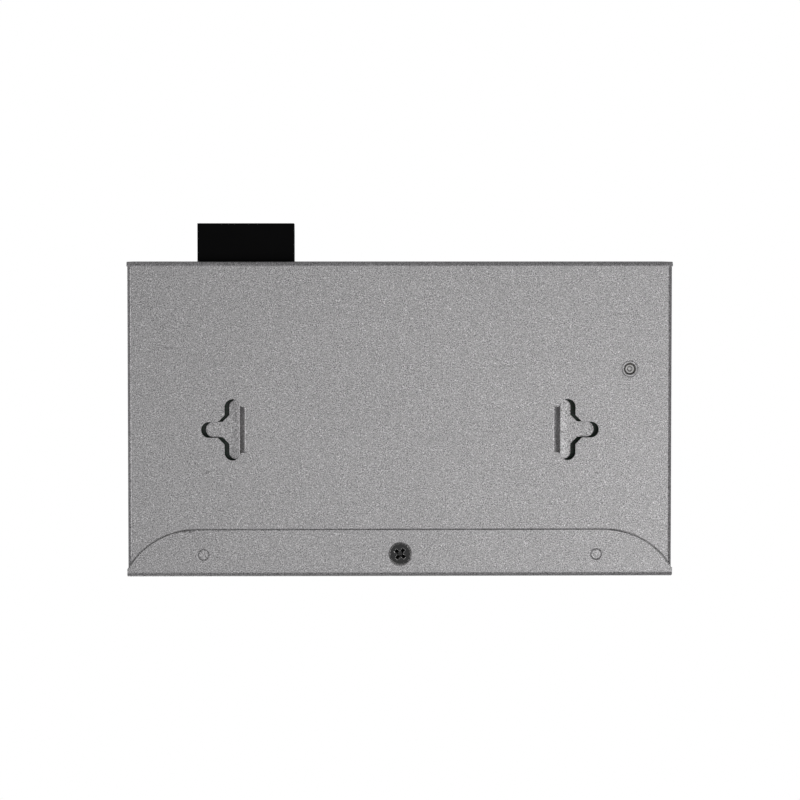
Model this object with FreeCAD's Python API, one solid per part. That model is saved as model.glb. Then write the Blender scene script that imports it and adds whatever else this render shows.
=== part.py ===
import FreeCAD, Part
import math
import os

# Compact eight-port Ethernet switch in a folded sheet steel case.
# Origin: centre of the case's underside.  +X is to the right seen from the front, -Y is the front panel
# with the network jacks, +Y is the rear wall with the power terminal, +Z is up.  All lengths are in mm.

V = FreeCAD.Vector
toward_rear = V(0, 1, 0)

# ---------------------------------------------------------------- case
case_width = 142.5
case_depth = 82.5
case_height = 27.0
sheet = 0.8                    # thickness of the tray and the cover
bend_inner = 0.4               # inner radius of every case bend
seam_gap = 0.25                # visible joint between tray and cover
slip_gap = 0.15                # hidden clearance between nested sheets
overrun = 1.0                  # how far a cutter runs past the faces it opens
touch = 1e-3                   # places nearer than this are the same place

# front strip of the cover, folded under the floor
strip_depth = 12.3
strip_arc_radius = 20.4
strip_arc_from_side = 17.65    # where each arc leaves the straight rear edge
strip_edge_round = 0.15
ear_depth = 2.15               # full-width root of strip, panel and roof
ear_proud = 0.25               # how far the ears stand out past the side walls

# cover screw, countersunk into the strip
screw_from_front = 5.9
sink_radius = 3.1
head_radius = 2.75
head_recess = 0.12
thread_radius = 1.45           # M3, modelled smooth
thread_clearance = 0.05
hole_clearance = 0.2
cover_screw_length = 4.0
cross_width = 0.85
cross_span = 3.4
cross_depth = 1.3
head_rim = 0.1                 # upright rim of the countersunk head
boss_rise = 0.27               # metal pushed up round the countersink, above its cone
nut_plate_corner = 1.5
nut_plate_width = 14.0
nut_plate_depth = 9.6
nut_plate_thickness = 1.5

# half-sheared locating dimples in the strip
dimple_from_side = 19.75
dimple_from_front = 5.75
dimple_radius = 1.375
dimple_depth = 0.35
dimple_shrink = 0.09           # the raised side's radius is this much smaller

# coined rings that locate stick-on feet
ring_radius = 5.0
ring_groove_width = 0.5
ring_groove_depth = 0.18
rear_ring_from_side = 10.95
rear_ring_from_rear = 17.45
front_ring_from_side = 22.05
front_ring_from_front = 22.65

# three-lobed wall keyholes with a joggled tongue
keyhole_spacing = 87.8         # between the inner lobes' centres
keyhole_from_front = 38.55
lobe_radius = 2.05
lobe_reach = 5.95              # from the keyhole's axis to each inner lobe
lobe_outreach = 6.1            # from the inner lobes to the outer one
shoulder_reach = 3.8           # where the 45 degree shoulder leaves the inner lobe
shoulder_round = 0.4
tongue_rise = 2.2
tongue_slope = 65.0            # degrees
tongue_bend_setback = 0.65     # bend line behind the lobes' straight side
tongue_draw_in = 1.15          # how far the bend pulls the tongue back
tongue_upper_bend = 0.2
tongue_lower_bend = 0.7

# vents
vent_width = 1.8
vent_pitch = 4.4
vent_height = 10.0
vent_corner = 0.55             # cut off each corner of a slot
vent_middle = 13.5             # height of the vents' middle
side_vent_count = 10
side_vent_centre = 4.0         # along Y
rear_vent_count = 12
rear_vent_centre = -24.0       # along X

# inner flanges of the roof and the hooks that hold its rear edge
flange_height = 4.4
hook_from_side = 9.25
hook_width = 8.0
hook_length = 3.0
hook_drop = 2.5                # below the roof's top face
hook_clearance = 0.4

# ---------------------------------------------------------------- circuit board
standoff_height = 4.0
board_thickness = 1.6
board_gap_side = 2.6
board_gap_front = 1.6
board_gap_rear = 1.4
board_corner = 1.5             # cut off each corner
fixing_from_side = 11.05
rear_fixing_from_rear = 28.05
front_fixing_from_front = 23.2
standoff_flats = 6.0
standoff_shank_radius = 2.1
press_clearance = 0.02
blind_floor = 1.0              # metal left under a blind thread
board_screw_length = 4.0
earth_screw_length = 6.0
pan_head_radius = 2.8
pan_head_height = 1.9
screw_point = 0.35             # bevel at the screw's end
cup_radius = 0.75
cup_depth = 0.3

# ---------------------------------------------------------------- jacks
port_pitch = 13.97
ports_per_block = 4
block_side_wall = 0.45
block_gap = 1.6
housing_height = 12.6
housing_depth = 18.4
shield = 0.25
mouth_width = 11.9
mouth_height = 7.0
mouth_lift = 3.5               # mouth floor above the board
mouth_depth = 13.6
latch_width = 6.3
latch_height = 1.5
latch_tip_width = 3.4
latch_tip_height = 1.0
front_face_recess = 0.1        # shield face behind the panel's face
window_gap = 0.3
contact_pitch = 1.02
contact_count = 8
contact_width = 0.42
contact_thickness = 0.28
contact_drop = 2.6
contact_gap = 0.05
contact_setback = 2.4          # from the housing's face to the contacts' bend
contact_bend = 0.5
contact_reach = 6.4            # length of the sloping free end

# ---------------------------------------------------------------- lamps
pipe_side = 2.4                # square section
lamp_hole_gap = 0.15
pipe_height = 22.8
pipe_behind_block = 1.6
pipe_lift = 0.3                # above the chip LEDs
bridge_size = 1.4
led_length = 2.0
led_width = 1.25
led_height = 0.8
power_lamp_from_side = 7.05
power_lamp_radius = 1.45
power_lamp_length = 4.4
power_lamp_slope = 0.6         # bevel round the lamp's nose
lamp_flange = 0.35             # how far the flange stands out
lamp_flange_length = 0.8
holder_width = 4.6
holder_depth = 5.2
holder_front_leg = 1.6
holder_rear_leg = 1.2

# ---------------------------------------------------------------- power terminal
poles = 5
pole_pitch = 5.08
terminal_from_side = 30.75
plug_projection = 10.1         # past the rear wall
plug_height = 15.2
plug_window_gap = 0.45
header_height = 8.6
header_depth = 12.0
header_wall = 0.9
header_setback = 0.2
pin_size = 1.0
pin_reach = 8.0
pin_leg = 2.6
pin_clearance = 0.2
nose_clearance = 0.15
entry_width = 3.9
entry_height = 3.4
entry_depth = 8.2
entry_lift = 3.4               # entry floor above the plug's base
well_radius = 1.95
plug_slope = 2.02              # bevel along the plug's upper rear edge
pole_groove_width = 0.4
pole_groove_depth = 0.3
pole_groove_lift = 1.2         # above the plug's base
clamp_screw_radius = 1.6
clamp_screw_height = 6.0       # above the entries
clamp_screw_reach = 0.3        # below the clamp's top wall
screw_slot_width = 0.6
screw_slot_depth = 0.9
clamp_wall = 0.5
clamp_gap = 0.05
clamp_setback = 2.2            # behind the entry's mouth
clamp_rear_gap = 0.2
fork_gap = 0.02
fork_leaf = 0.14
fork_start = 0.5
fork_heel = 0.4
fork_reach = 0.8               # past the plug's face

# ---------------------------------------------------------------- parts on the board
chip_x = -8.0
chip_y = 12.5
chip_size = 16.0
chip_height = 1.4
chip_leads = 6                 # drawn on each side
chip_lead_pitch = 2.2
pad_size = 15.0
pad_thickness = 0.5
sink_size = 24.0
sink_base = 1.6
fin_height = 7.0
fin_width = 1.0
fin_count = 8
lead_length = 0.9
lead_width = 0.3
chip_lift = 0.15
transformer_behind_leds = 9.6
transformer_width = 15.0
transformer_depth = 9.0
transformer_height = 5.6
transformer_leads = 4
transformer_lead_pitch = 2.0
capacitor_count = 3
capacitor_x = 27.0
capacitor_y = 8.0
capacitor_pitch = 10.0
capacitor_radius = 4.0
capacitor_height = 12.0
inductor_x = 15.0
inductor_size = 7.4
inductor_height = 4.0
inductor_gap = 4.0
inductor_corner = 1.2
memory_x = -30.0
memory_y = 8.0
crystal_y = 20.0
crystal_length = 11.4
crystal_width = 4.7
crystal_height = 3.5
small_chip_length = 4.9
small_chip_width = 3.9
small_chip_height = 1.6
small_chip_lead_pitch = 1.27
regulator_leads = 3
memory_leads = 4
protection_gap = 5.0           # in front of the power header
protection_pitch = 8.4
protection_length = 4.6
fuse_depth = 3.2
fuse_height = 1.8
arrester_depth = 3.4
arrester_height = 2.3
chip_capacitor_pitch = 4.0
chip_capacitor_length = 1.6
chip_capacitor_width = 0.8
chip_capacitor_height = 0.6
chip_capacitor_rows = 5
chip_capacitor_columns = 3     # beside the memory chip; one more stands beside the heat sink

# ---------------------------------------------------------------- derived places
half_width = case_width / 2
front = -case_depth / 2
rear = case_depth / 2
bend_outer = bend_inner + sheet
wall_top = case_height - bend_outer
half_panel = half_width + ear_proud
side_front = front + ear_depth + seam_gap
side_rear = rear - bend_outer
strip_rear = front + strip_depth
strip_arc_x = half_width - strip_arc_from_side
strip_arc_y = strip_rear - strip_arc_radius
raised_floor = sheet + slip_gap
raised_top = raised_floor + sheet
screw_y = front + screw_from_front
dimple_x = half_width - dimple_from_side
dimple_y = front + dimple_from_front
hook_x = half_width - hook_from_side
hook_z = case_height - hook_drop
sink_boss_radius = sink_radius + sheet / 2
sink_depth = sink_radius - thread_radius - hole_clearance
roof_half = half_width - sheet - slip_gap
roof_rear = rear - sheet - slip_gap
board_bottom = sheet + standoff_height
board_top = board_bottom + board_thickness
board_half = half_width - board_gap_side
board_front = front + sheet + board_gap_front
board_rear = rear - sheet - board_gap_rear
fixing_x = half_width - fixing_from_side
rear_fixing_y = rear - rear_fixing_from_rear
front_fixing_y = front + front_fixing_from_front
block_width = ports_per_block * port_pitch + 2 * block_side_wall
block_half = block_width / 2
block_x = block_gap / 2 + shield + block_half
shield_front = front + front_face_recess
housing_front = shield_front + shield
housing_rear = housing_front + housing_depth
housing_top = board_top + housing_height
mouth_floor = board_top + mouth_lift
mouth_roof = mouth_floor + mouth_height
led_y = housing_rear + shield + pipe_behind_block
power_lamp_x = power_lamp_from_side - half_width
terminal_centre = half_width - terminal_from_side
plug_width = poles * pole_pitch
header_mouth = rear - sheet - header_setback
header_back = header_mouth - header_depth
nose_back = header_back + 3 * header_wall
pin_leg_y = header_back + header_wall + pin_size
plug_rear = rear + plug_projection
plug_screw_y = plug_rear - plug_projection / 2
plug_base = board_top + header_wall / 2
plug_top = plug_base + plug_height
entry_floor = plug_base + entry_lift
entry_roof = entry_floor + entry_height
pin_middle = board_top + header_height / 2


# ---------------------------------------------------------------- construction helpers
def box(x_range, y_range, z_range):
    """Box between two values along each axis."""
    low = V(x_range[0], y_range[0], z_range[0])
    return Part.makeBox(x_range[1] - low.x, y_range[1] - low.y, z_range[1] - low.z, low)


def box_at(x, y, width, depth, z_range):
    """Box centred on x and y."""
    return box((x - width / 2, x + width / 2), (y - depth / 2, y + depth / 2), z_range)


def post(x, y, radius, z_range):
    """Upright cylinder."""
    return Part.makeCylinder(radius, z_range[1] - z_range[0], V(x, y, z_range[0]))


def rounded_chain(points, radii):
    """Edges of a path of straight runs, with a tangent arc of its own radius at each inner corner."""
    edges = []
    start = points[0]
    for before, corner, after, radius in zip(points, points[1:], points[2:], radii):
        inward = (corner - before).normalize()
        outward = (after - corner).normalize()
        half_turn = inward.getAngle(outward) / 2
        entry = corner - inward * radius * math.tan(half_turn)
        leave = corner + outward * radius * math.tan(half_turn)
        if (entry - start).Length > 1e-6:
            edges.append(Part.LineSegment(start, entry).toShape())
        if radius > 0:
            sag = (outward - inward).normalize() * radius * (1 / math.cos(half_turn) - 1)
            edges.append(Part.Arc(entry, corner + sag, leave).toShape())
        start = leave
    if (points[-1] - start).Length > 1e-6:
        edges.append(Part.LineSegment(start, points[-1]).toShape())
    return edges


def rounded_face(points, radii):
    """Face inside a closed outline whose corners have their own radii."""
    middle = (points[-1] + points[0]) / 2
    return Part.Face(Part.Wire(rounded_chain([middle] + points + [middle], radii)))


def sheet_section(path, thickness, inner_radii, place):
    """Section of a bent sheet.  The path follows its outer skin, with the metal on the path's left.

    place turns the path's two values into a point in space.
    """
    flat = [V(a, b, 0) for a, b in path]
    runs = [(end - start).normalize() for start, end in zip(flat, flat[1:])]
    lefts = [V(-run.y, run.x, 0) for run in runs]
    inner = [flat[0] + lefts[0] * thickness]
    outer_radii = []
    skin_radii = []
    for corner, left, next_left, run, radius in zip(flat[1:], lefts, lefts[1:], runs, inner_radii):
        inner.append(corner + (left + next_left) * (thickness / (1 + left.dot(next_left))))
        turns_left = run.dot(next_left) < 0
        outer_radii.append(radius + thickness if turns_left else radius)
        skin_radii.append(radius if turns_left else radius + thickness)
    inner.append(flat[-1] + lefts[-1] * thickness)
    outside = [place(p.x, p.y) for p in flat]
    inside = [place(p.x, p.y) for p in reversed(inner)]
    edges = rounded_chain(outside, outer_radii)
    edges.append(Part.LineSegment(outside[-1], inside[0]).toShape())
    edges += rounded_chain(inside, skin_radii[::-1])
    edges.append(Part.LineSegment(inside[-1], outside[0]).toShape())
    return Part.Face(Part.Wire(edges))


def cut_corner_face(points, setback):
    """Face inside a closed outline whose corners are cut off."""
    outline = []
    for before, corner, after in zip(points[-1:] + points, points, points[1:] + points[:1]):
        outline.append(corner + (before - corner).normalize() * setback)
        outline.append(corner + (after - corner).normalize() * setback)
    return Part.Face(Part.makePolygon(outline + outline[:1]))


def cut_corner_plate(x, y, width, depth, setback, z_range):
    """Upright plate centred on x and y, with its four corners cut off."""
    low, high = z_range
    points = [V(x + across * width / 2, y + along * depth / 2, low)
              for across, along in ((-1, -1), (1, -1), (1, 1), (-1, 1))]
    return cut_corner_face(points, setback).extrude(V(0, 0, high - low))


def wall_slot(centre, along_wall):
    """Upright slot through a wall, its middle on the wall's face."""
    side = along_wall * (vent_width / 2)
    end = V(0, 0, vent_height / 2)
    through = end.cross(along_wall).normalize() * 4 * sheet
    points = [corner - through / 2 for corner in
              (centre - end - side, centre + end - side, centre + end + side, centre - end + side)]
    return cut_corner_face(points, vent_corner).extrude(through)


def hexagon(x, y, flats, z_range):
    """Upright hexagonal prism."""
    corner = flats / math.sqrt(3)
    turns = [math.radians(60 * step) for step in range(6)]
    points = [V(x + corner * math.cos(t), y + corner * math.sin(t), z_range[0]) for t in turns]
    return Part.Face(Part.makePolygon(points + points[:1])).extrude(V(0, 0, z_range[1] - z_range[0]))


def both_sides(shape):
    """The shape and its mirror image across the middle plane."""
    return [shape, shape.mirror(V(0, 0, 0), V(1, 0, 0))]


def union(shapes):
    """One clean solid from several that share faces or overlap."""
    return shapes[0].multiFuse(shapes[1:]).removeSplitter()


def save(name, *solids):
    """Write one node: a single solid, or a group of separate ones."""
    shape = solids[0] if len(solids) == 1 else Part.makeCompound(list(solids))
    shape.exportStep("parts/" + name + ".step")


# ---------------------------------------------------------------- case sheets
def strip_plan(margin, half_span, z_range):
    """Prism over the front strip's outline, grown by a margin, between two heights."""
    radius = strip_arc_radius + margin
    run = half_span - strip_arc_x
    foot = strip_arc_y + math.sqrt(radius ** 2 - run ** 2)
    crown = strip_arc_y + radius
    middle = math.asin(run / radius) / 2
    bulge = V(strip_arc_x + radius * math.sin(middle), strip_arc_y + radius * math.cos(middle), 0)
    right_top = V(strip_arc_x, crown, 0)
    right_foot = V(half_span, foot, 0)
    outside = front - overrun
    corners = [V(half_span, outside, 0), V(-half_span, outside, 0), V(-half_span, foot, 0)]
    edges = [
        Part.LineSegment(V(-strip_arc_x, crown, 0), right_top).toShape(),
        Part.Arc(right_top, bulge, right_foot).toShape(),
        Part.LineSegment(right_foot, corners[0]).toShape(),
        Part.LineSegment(corners[0], corners[1]).toShape(),
        Part.LineSegment(corners[1], corners[2]).toShape(),
        Part.Arc(corners[2], V(-bulge.x, bulge.y, 0), V(-strip_arc_x, crown, 0)).toShape(),
    ]
    face = Part.Face(Part.Wire(edges))
    face.translate(V(0, 0, z_range[0]))
    return face.extrude(V(0, 0, z_range[1] - z_range[0]))


def keyhole_plan(shift, z_range):
    """Prism over the right keyhole's three-lobed outline, moved towards the case's middle by a shift."""
    side = keyhole_spacing / 2 - lobe_radius - shift
    middle = front + keyhole_from_front
    lobe = 2 * lobe_radius
    tip = lobe + lobe_outreach
    waist = lobe + shoulder_reach - lobe_radius
    half = [
        (0, lobe_reach + lobe_radius, lobe_radius),
        (lobe, lobe_reach + lobe_radius, lobe_radius),
        (lobe, shoulder_reach, shoulder_round),
        (waist, lobe_radius, shoulder_round),
        (tip, lobe_radius, lobe_radius),
    ]
    outline = half + [(out, -up, radius) for out, up, radius in reversed(half)]
    points = [V(side + out, middle + up, z_range[0]) for out, up, radius in outline]
    face = rounded_face(points, [radius for out, up, radius in outline])
    return face.extrude(V(0, 0, z_range[1] - z_range[0]))


def keyhole_tongue():
    """Right keyhole's tongue: lanced free round its lobes, joggled inwards and still one with the floor."""
    side = keyhole_spacing / 2 - lobe_radius
    middle = front + keyhole_from_front
    run = tongue_rise / math.tan(math.radians(tongue_slope))
    bend = -tongue_bend_setback
    root = bend - (tongue_upper_bend + sheet) * math.tan(math.radians(tongue_slope / 2))
    tip = 2 * lobe_radius + lobe_outreach
    path = [(root, 0), (bend, 0), (bend + run, tongue_rise), (tip, tongue_rise)]
    reach = lobe_reach + lobe_radius
    section = sheet_section(path, sheet, [tongue_upper_bend, tongue_lower_bend],
                            lambda out, up: V(side + out, middle - reach, up))
    joggle = section.extrude(V(0, 2 * reach, 0))
    span = (-overrun, tongue_rise + sheet + overrun)
    root_zone = box((side + root, side + lobe_radius), (middle - lobe_reach, middle + lobe_reach), span)
    free_zone = box((side + slip_gap, side + tip), (middle - reach, middle + reach), span)
    outline = union([root_zone, free_zone.common(keyhole_plan(tongue_draw_in, span))])
    gap_box = box((side + root, side), (middle - lobe_reach, middle + lobe_reach),
                  (-overrun, sheet + overrun))
    return joggle.common(outline), gap_box


def vent_cutters():
    """Slots for both side walls and the rear wall."""
    cutters = []
    for index in range(side_vent_count):
        y = side_vent_centre + (index - (side_vent_count - 1) / 2) * vent_pitch
        cutters += both_sides(wall_slot(V(half_width, y, vent_middle), V(0, 1, 0)))
    for index in range(rear_vent_count):
        x = rear_vent_centre + (index - (rear_vent_count - 1) / 2) * vent_pitch
        cutters.append(wall_slot(V(x, rear, vent_middle), V(1, 0, 0)))
    return cutters


def ring_cutters():
    """Shallow round grooves of the four foot rings."""
    places = [(half_width - rear_ring_from_side, rear - rear_ring_from_rear),
              (half_width - front_ring_from_side, front + front_ring_from_front)]
    cutters = []
    for x, y in places:
        lip = x + ring_radius
        groove = [V(lip - ring_groove_width / 2, y, 0), V(lip, y, ring_groove_depth),
                  V(lip + ring_groove_width / 2, y, 0)]
        section = Part.Face(Part.makePolygon(groove + groove[:1]))
        cutters += both_sides(section.revolve(V(x, y, 0), V(0, 0, 1), 360))
    return cutters


def base_tray():
    """Floor, side walls and rear wall, with the floor stepped up over the front strip."""
    walls = [(-half_width, wall_top), (-half_width, 0), (half_width, 0), (half_width, wall_top)]
    across = sheet_section(walls, sheet, [bend_inner] * 2, lambda x, z: V(x, side_front, z))
    trough = across.extrude(V(0, side_rear - side_front, 0))
    back = sheet_section([(side_rear, 0), (rear, 0), (rear, wall_top)], sheet, [bend_inner],
                         lambda y, z: V(-half_width - slip_gap, y, z))
    rear_wall = back.extrude(V(2 * (half_width + slip_gap), 0, 0))
    step = strip_plan(seam_gap + sheet, half_width, (0, raised_top)).common(
        box((sheet - half_width, half_width - sheet), (front + sheet + slip_gap, rear), (0, raised_top)))
    tongue, tongue_gap = keyhole_tongue()
    hook = box((hook_x - hook_width / 2, hook_x + hook_width / 2),
               (rear - sheet - hook_length, rear - sheet / 2), (hook_z - sheet, hook_z))
    hook_window = box_at(hook_x, rear, hook_width, 4 * sheet, (hook_z - sheet - hook_length, hook_z - sheet))
    cutters = [strip_plan(seam_gap, half_width + overrun, (-overrun, raised_floor)), terminal_window()]
    cutters += both_sides(keyhole_plan(0, (-overrun, sheet + overrun))) + both_sides(tongue_gap)
    cutters += both_sides(hook_window) + vent_cutters() + ring_cutters()
    through_floor = (-overrun, raised_top + overrun)
    cutters.append(post(0, screw_y, sink_boss_radius + 2 * hole_clearance, through_floor))
    cutters += both_sides(post(dimple_x, dimple_y, dimple_radius + hole_clearance, through_floor))
    cutters.append(post(-fixing_x, rear_fixing_y, standoff_shank_radius + press_clearance, through_floor))
    body = union([trough, rear_wall, step]).cut(cutters)
    return union([body] + both_sides(tongue) + both_sides(hook))


def sink_boss():
    """Metal pushed up round the cover screw's countersink, and the height of its top."""
    top = sink_depth + boss_rise
    rise = top - sheet
    return Part.makeCone(sink_boss_radius, sink_boss_radius - rise, rise, V(0, screw_y, sheet)), top


def jack_windows():
    """One window in the front panel for each jack block."""
    low = board_top - window_gap / 2
    high = housing_top + shield + window_gap
    width = block_width + 2 * (shield + window_gap)
    return both_sides(box_at(block_x, front, width, 4 * sheet, (low, high)))


def terminal_window():
    """Opening that the power plug passes through at the rear."""
    return box_at(terminal_centre, rear, plug_width + 2 * plug_window_gap, 4 * sheet,
                  (plug_base - plug_window_gap, plug_top + plug_window_gap))


def lamp_holes():
    """Square holes for the light pipes and a round one for the power lamp."""
    half = pipe_side / 2 + lamp_hole_gap
    reach = (front - overrun, front + 2 * sheet)
    span = (pipe_height - half, pipe_height + half)
    holes = [box((x - half, x + half), reach, span) for x in port_places()]
    holes.append(Part.makeCylinder(power_lamp_radius + lamp_hole_gap, reach[1] - reach[0],
                                   V(power_lamp_x, reach[0], pipe_height), toward_rear))
    return holes


def port_places():
    """Middle of every port along X, from the left to the right."""
    step = [(index - (ports_per_block - 1) / 2) * port_pitch for index in range(ports_per_block)]
    return [side * block_x + offset for side in (-1, 1) for offset in step]


def top_cover():
    """Roof, front panel, strip under the floor and the flanges that tuck inside the tray."""
    flange_foot = case_height - flange_height
    path = [(roof_rear, flange_foot), (roof_rear, case_height), (front, case_height), (front, 0),
            (strip_rear, 0)]
    spine = sheet_section(path, sheet, [bend_inner] * 3, lambda y, z: V(-half_panel, y, z))
    body = spine.extrude(V(2 * half_panel, 0, 0))
    roof_flat = roof_half - bend_outer
    panel_flat = half_panel - bend_outer
    relief = bend_outer + slip_gap
    far = half_panel + overrun
    root = front + ear_depth
    trims = [box((roof_flat, far), (root, rear), (2 * sheet, case_height + overrun)),
             box((panel_flat, far), (front - overrun, root), (relief, case_height - relief))]
    strip_zone = box((-far, far), (root, rear), (-overrun, 2 * sheet))
    body = body.cut([cut for trim in trims for cut in both_sides(trim)])
    body = body.cut(strip_zone.cut(strip_plan(0, half_width, (-2 * overrun, 3 * sheet))))
    wings = sheet_section([(roof_half, flange_foot), (roof_half, case_height), (-roof_half, case_height),
                           (-roof_half, flange_foot)], sheet, [bend_inner] * 2, lambda x, z: V(x, root, z))
    panel_line = [(-half_panel, root), (-half_panel, front), (half_panel, front), (half_panel, root)]
    returns = sheet_section(panel_line, sheet, [bend_inner] * 2, lambda x, y: V(x, y, relief))
    roof = wings.extrude(V(0, roof_rear - bend_outer - root, 0))
    panel = returns.extrude(V(0, 0, case_height - 2 * relief))
    boss, boss_top = sink_boss()
    bumps = both_sides(post(dimple_x, dimple_y, dimple_radius - dimple_shrink, (sheet, sheet + dimple_depth)))
    body = union([body, roof, panel, boss] + bumps)
    cutters = [Part.makeCone(sink_radius, sink_radius - sink_depth, sink_depth, V(0, screw_y, 0)),
               post(0, screw_y, thread_radius + hole_clearance, (0, boss_top + overrun))]
    cutters += both_sides(post(dimple_x, dimple_y, dimple_radius, (-overrun, dimple_depth)))
    cutters += jack_windows() + lamp_holes() + [terminal_window()]
    cutters += both_sides(box_at(hook_x, roof_rear, hook_width + 2 * hook_clearance, 4 * sheet,
                                 (hook_z - sheet - hook_clearance, hook_z + hook_clearance)))
    body = body.cut(cutters).removeSplitter()
    return body.makeFillet(strip_edge_round, strip_rim(body))


def strip_rim(body):
    """Lower edges of the strip's rear outline: the straight edge and its two arcs."""
    rim = []
    for edge in body.Edges:
        limits = edge.BoundBox
        flat = abs(limits.ZMin) < touch and abs(limits.ZMax) < touch
        if flat and limits.YMax > strip_rear - touch and limits.YMin > front + ear_depth - touch:
            rim.append(edge)
    return rim


def cross_recess(x, y, z, depth, upwards):
    """Cutter for a cross recess that goes down or up into a head from its face at z."""
    span = (z - overrun, z + depth) if upwards else (z - depth, z + overrun)
    return union([box_at(x, y, cross_span, cross_width, span), box_at(x, y, cross_width, cross_span, span)])


def cover_screw():
    """Countersunk screw, head down, its threaded end in the nut plate."""
    shoulder = head_recess + head_rim
    cone = Part.makeCone(head_radius, thread_radius, head_radius - thread_radius, V(0, screw_y, shoulder))
    head = union([post(0, screw_y, head_radius, (head_recess, shoulder)), cone])
    shank = post(0, screw_y, thread_radius, (shoulder, head_recess + cover_screw_length))
    recess = cross_recess(0, screw_y, head_recess, cross_depth, True)
    return union([head, shank]).cut(recess)


def nut_plate():
    """Threaded plate on the raised floor, across the hole that clears the countersink."""
    top = raised_top + nut_plate_thickness
    plate = cut_corner_plate(0, screw_y, nut_plate_width, nut_plate_depth, nut_plate_corner,
                             (raised_top, top))
    return plate.cut(post(0, screw_y, thread_radius + thread_clearance, (0, top + overrun)))


# ---------------------------------------------------------------- circuit board and its fixings
def fixing_places():
    """The four board fixings, the earthed one with the open thread first."""
    return [(side * fixing_x, y) for y in (rear_fixing_y, front_fixing_y) for side in (-1, 1)]


def circuit_board():
    """Board with its corners cut off and holes for its screws and the terminal's pins."""
    board = cut_corner_plate(0, (board_front + board_rear) / 2, 2 * board_half, board_rear - board_front,
                             board_corner, (board_bottom, board_top))
    span = (board_bottom - overrun, board_top + overrun)
    holes = [post(x, y, thread_radius + hole_clearance, span) for x, y in fixing_places()]
    opening = pin_size + 2 * pin_clearance
    holes += [box_at(x, pin_leg_y, opening, opening, span) for x in pole_places()]
    return board.cut(holes)


def through_standoff():
    """Clinched standoff whose open thread shows in the underside."""
    x, y = fixing_places()[0]
    blank = union([hexagon(x, y, standoff_flats, (sheet, board_bottom)),
                   post(x, y, standoff_shank_radius, (0, sheet))])
    return blank.cut(post(x, y, thread_radius + thread_clearance, (-overrun, board_bottom + overrun)))


def blind_standoffs():
    """Welded standoffs whose threads stop above the floor."""
    bore = thread_radius + thread_clearance
    span = (sheet + blind_floor, board_bottom + overrun)
    return [hexagon(x, y, standoff_flats, (sheet, board_bottom)).cut(post(x, y, bore, span))
            for x, y in fixing_places()[1:]]


def pan_screw(x, y, length):
    """Pan head screw, head up on the board."""
    crown = pan_head_height / 2
    head = union([post(x, y, pan_head_radius, (board_top, board_top + crown)),
                  Part.makeCone(pan_head_radius, pan_head_radius - crown, crown, V(x, y, board_top + crown))])
    shank = post(x, y, thread_radius, (board_top - length, board_top))
    return union([head, shank]).cut(cross_recess(x, y, board_top + pan_head_height, cross_depth, False))


def earth_screw(x, y):
    """Long pan head screw whose cup-shaped point shows in the through standoff."""
    tip = board_top - earth_screw_length
    point = Part.makeCone(thread_radius - screw_point, thread_radius, screw_point, V(x, y, tip))
    cup = Part.makeCone(cup_radius, cup_radius - cup_depth, cup_depth, V(x, y, tip))
    return union([pan_screw(x, y, earth_screw_length - screw_point), point]).cut(cup)


# ---------------------------------------------------------------- jack blocks
def port_cutter(x, y_front, depth):
    """Keyed mouth of one port: the plug's body, its latch and the latch's tip."""
    steps = [(mouth_width, mouth_floor, mouth_roof),
             (latch_width, mouth_floor - latch_height, mouth_floor),
             (latch_tip_width, mouth_floor - latch_height - latch_tip_height, mouth_floor)]
    return union([box((x - width / 2, x + width / 2), (y_front, y_front + depth), (low, high))
                  for width, low, high in steps])


def block_ports(side):
    """Middles of the ports of one block."""
    return port_places()[:ports_per_block] if side < 0 else port_places()[ports_per_block:]


def jack_housing(side):
    """Moulded body of one block, with a keyed cavity for each port."""
    x = side * block_x
    body = box((x - block_half, x + block_half), (housing_front, housing_rear), (board_top, housing_top))
    cavities = [port_cutter(port, housing_front - overrun, mouth_depth + overrun)
                for port in block_ports(side)]
    return body.cut(cavities)


def jack_shield(side):
    """Stamped cover round one block: front, top, sides and back, open towards the board."""
    x = side * block_x
    outer = box((x - block_half - shield, x + block_half + shield),
                (shield_front, housing_rear + shield), (board_top, housing_top + shield))
    inner = box((x - block_half, x + block_half), (housing_front, housing_rear),
                (board_top - overrun, housing_top))
    mouths = [port_cutter(port, shield_front - overrun, overrun + 2 * shield) for port in block_ports(side)]
    return outer.cut([inner] + mouths)


def jack_contacts(side):
    """Spring contacts: each runs back under the mouth's ceiling, then slopes down to its free end."""
    ceiling = mouth_roof - contact_gap
    start = housing_front + mouth_depth - contact_gap
    turn = housing_front + contact_setback
    low = ceiling - contact_drop
    under = ceiling - contact_thickness
    lap = contact_thickness / 3
    path = [(start, ceiling), (turn, ceiling), (turn - contact_bend, under), (turn + contact_reach, low),
            (turn + contact_reach + lap, low + contact_thickness), (turn + contact_bend + lap, under),
            (start, under)]
    contacts = []
    for port in block_ports(side):
        for index in range(contact_count):
            x = port + (index - (contact_count - 1) / 2) * contact_pitch - contact_width / 2
            outline = Part.makePolygon([V(x, y, z) for y, z in path + path[:1]])
            contacts.append(Part.Face(outline).extrude(V(contact_width, 0, 0)))
    return contacts


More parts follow.
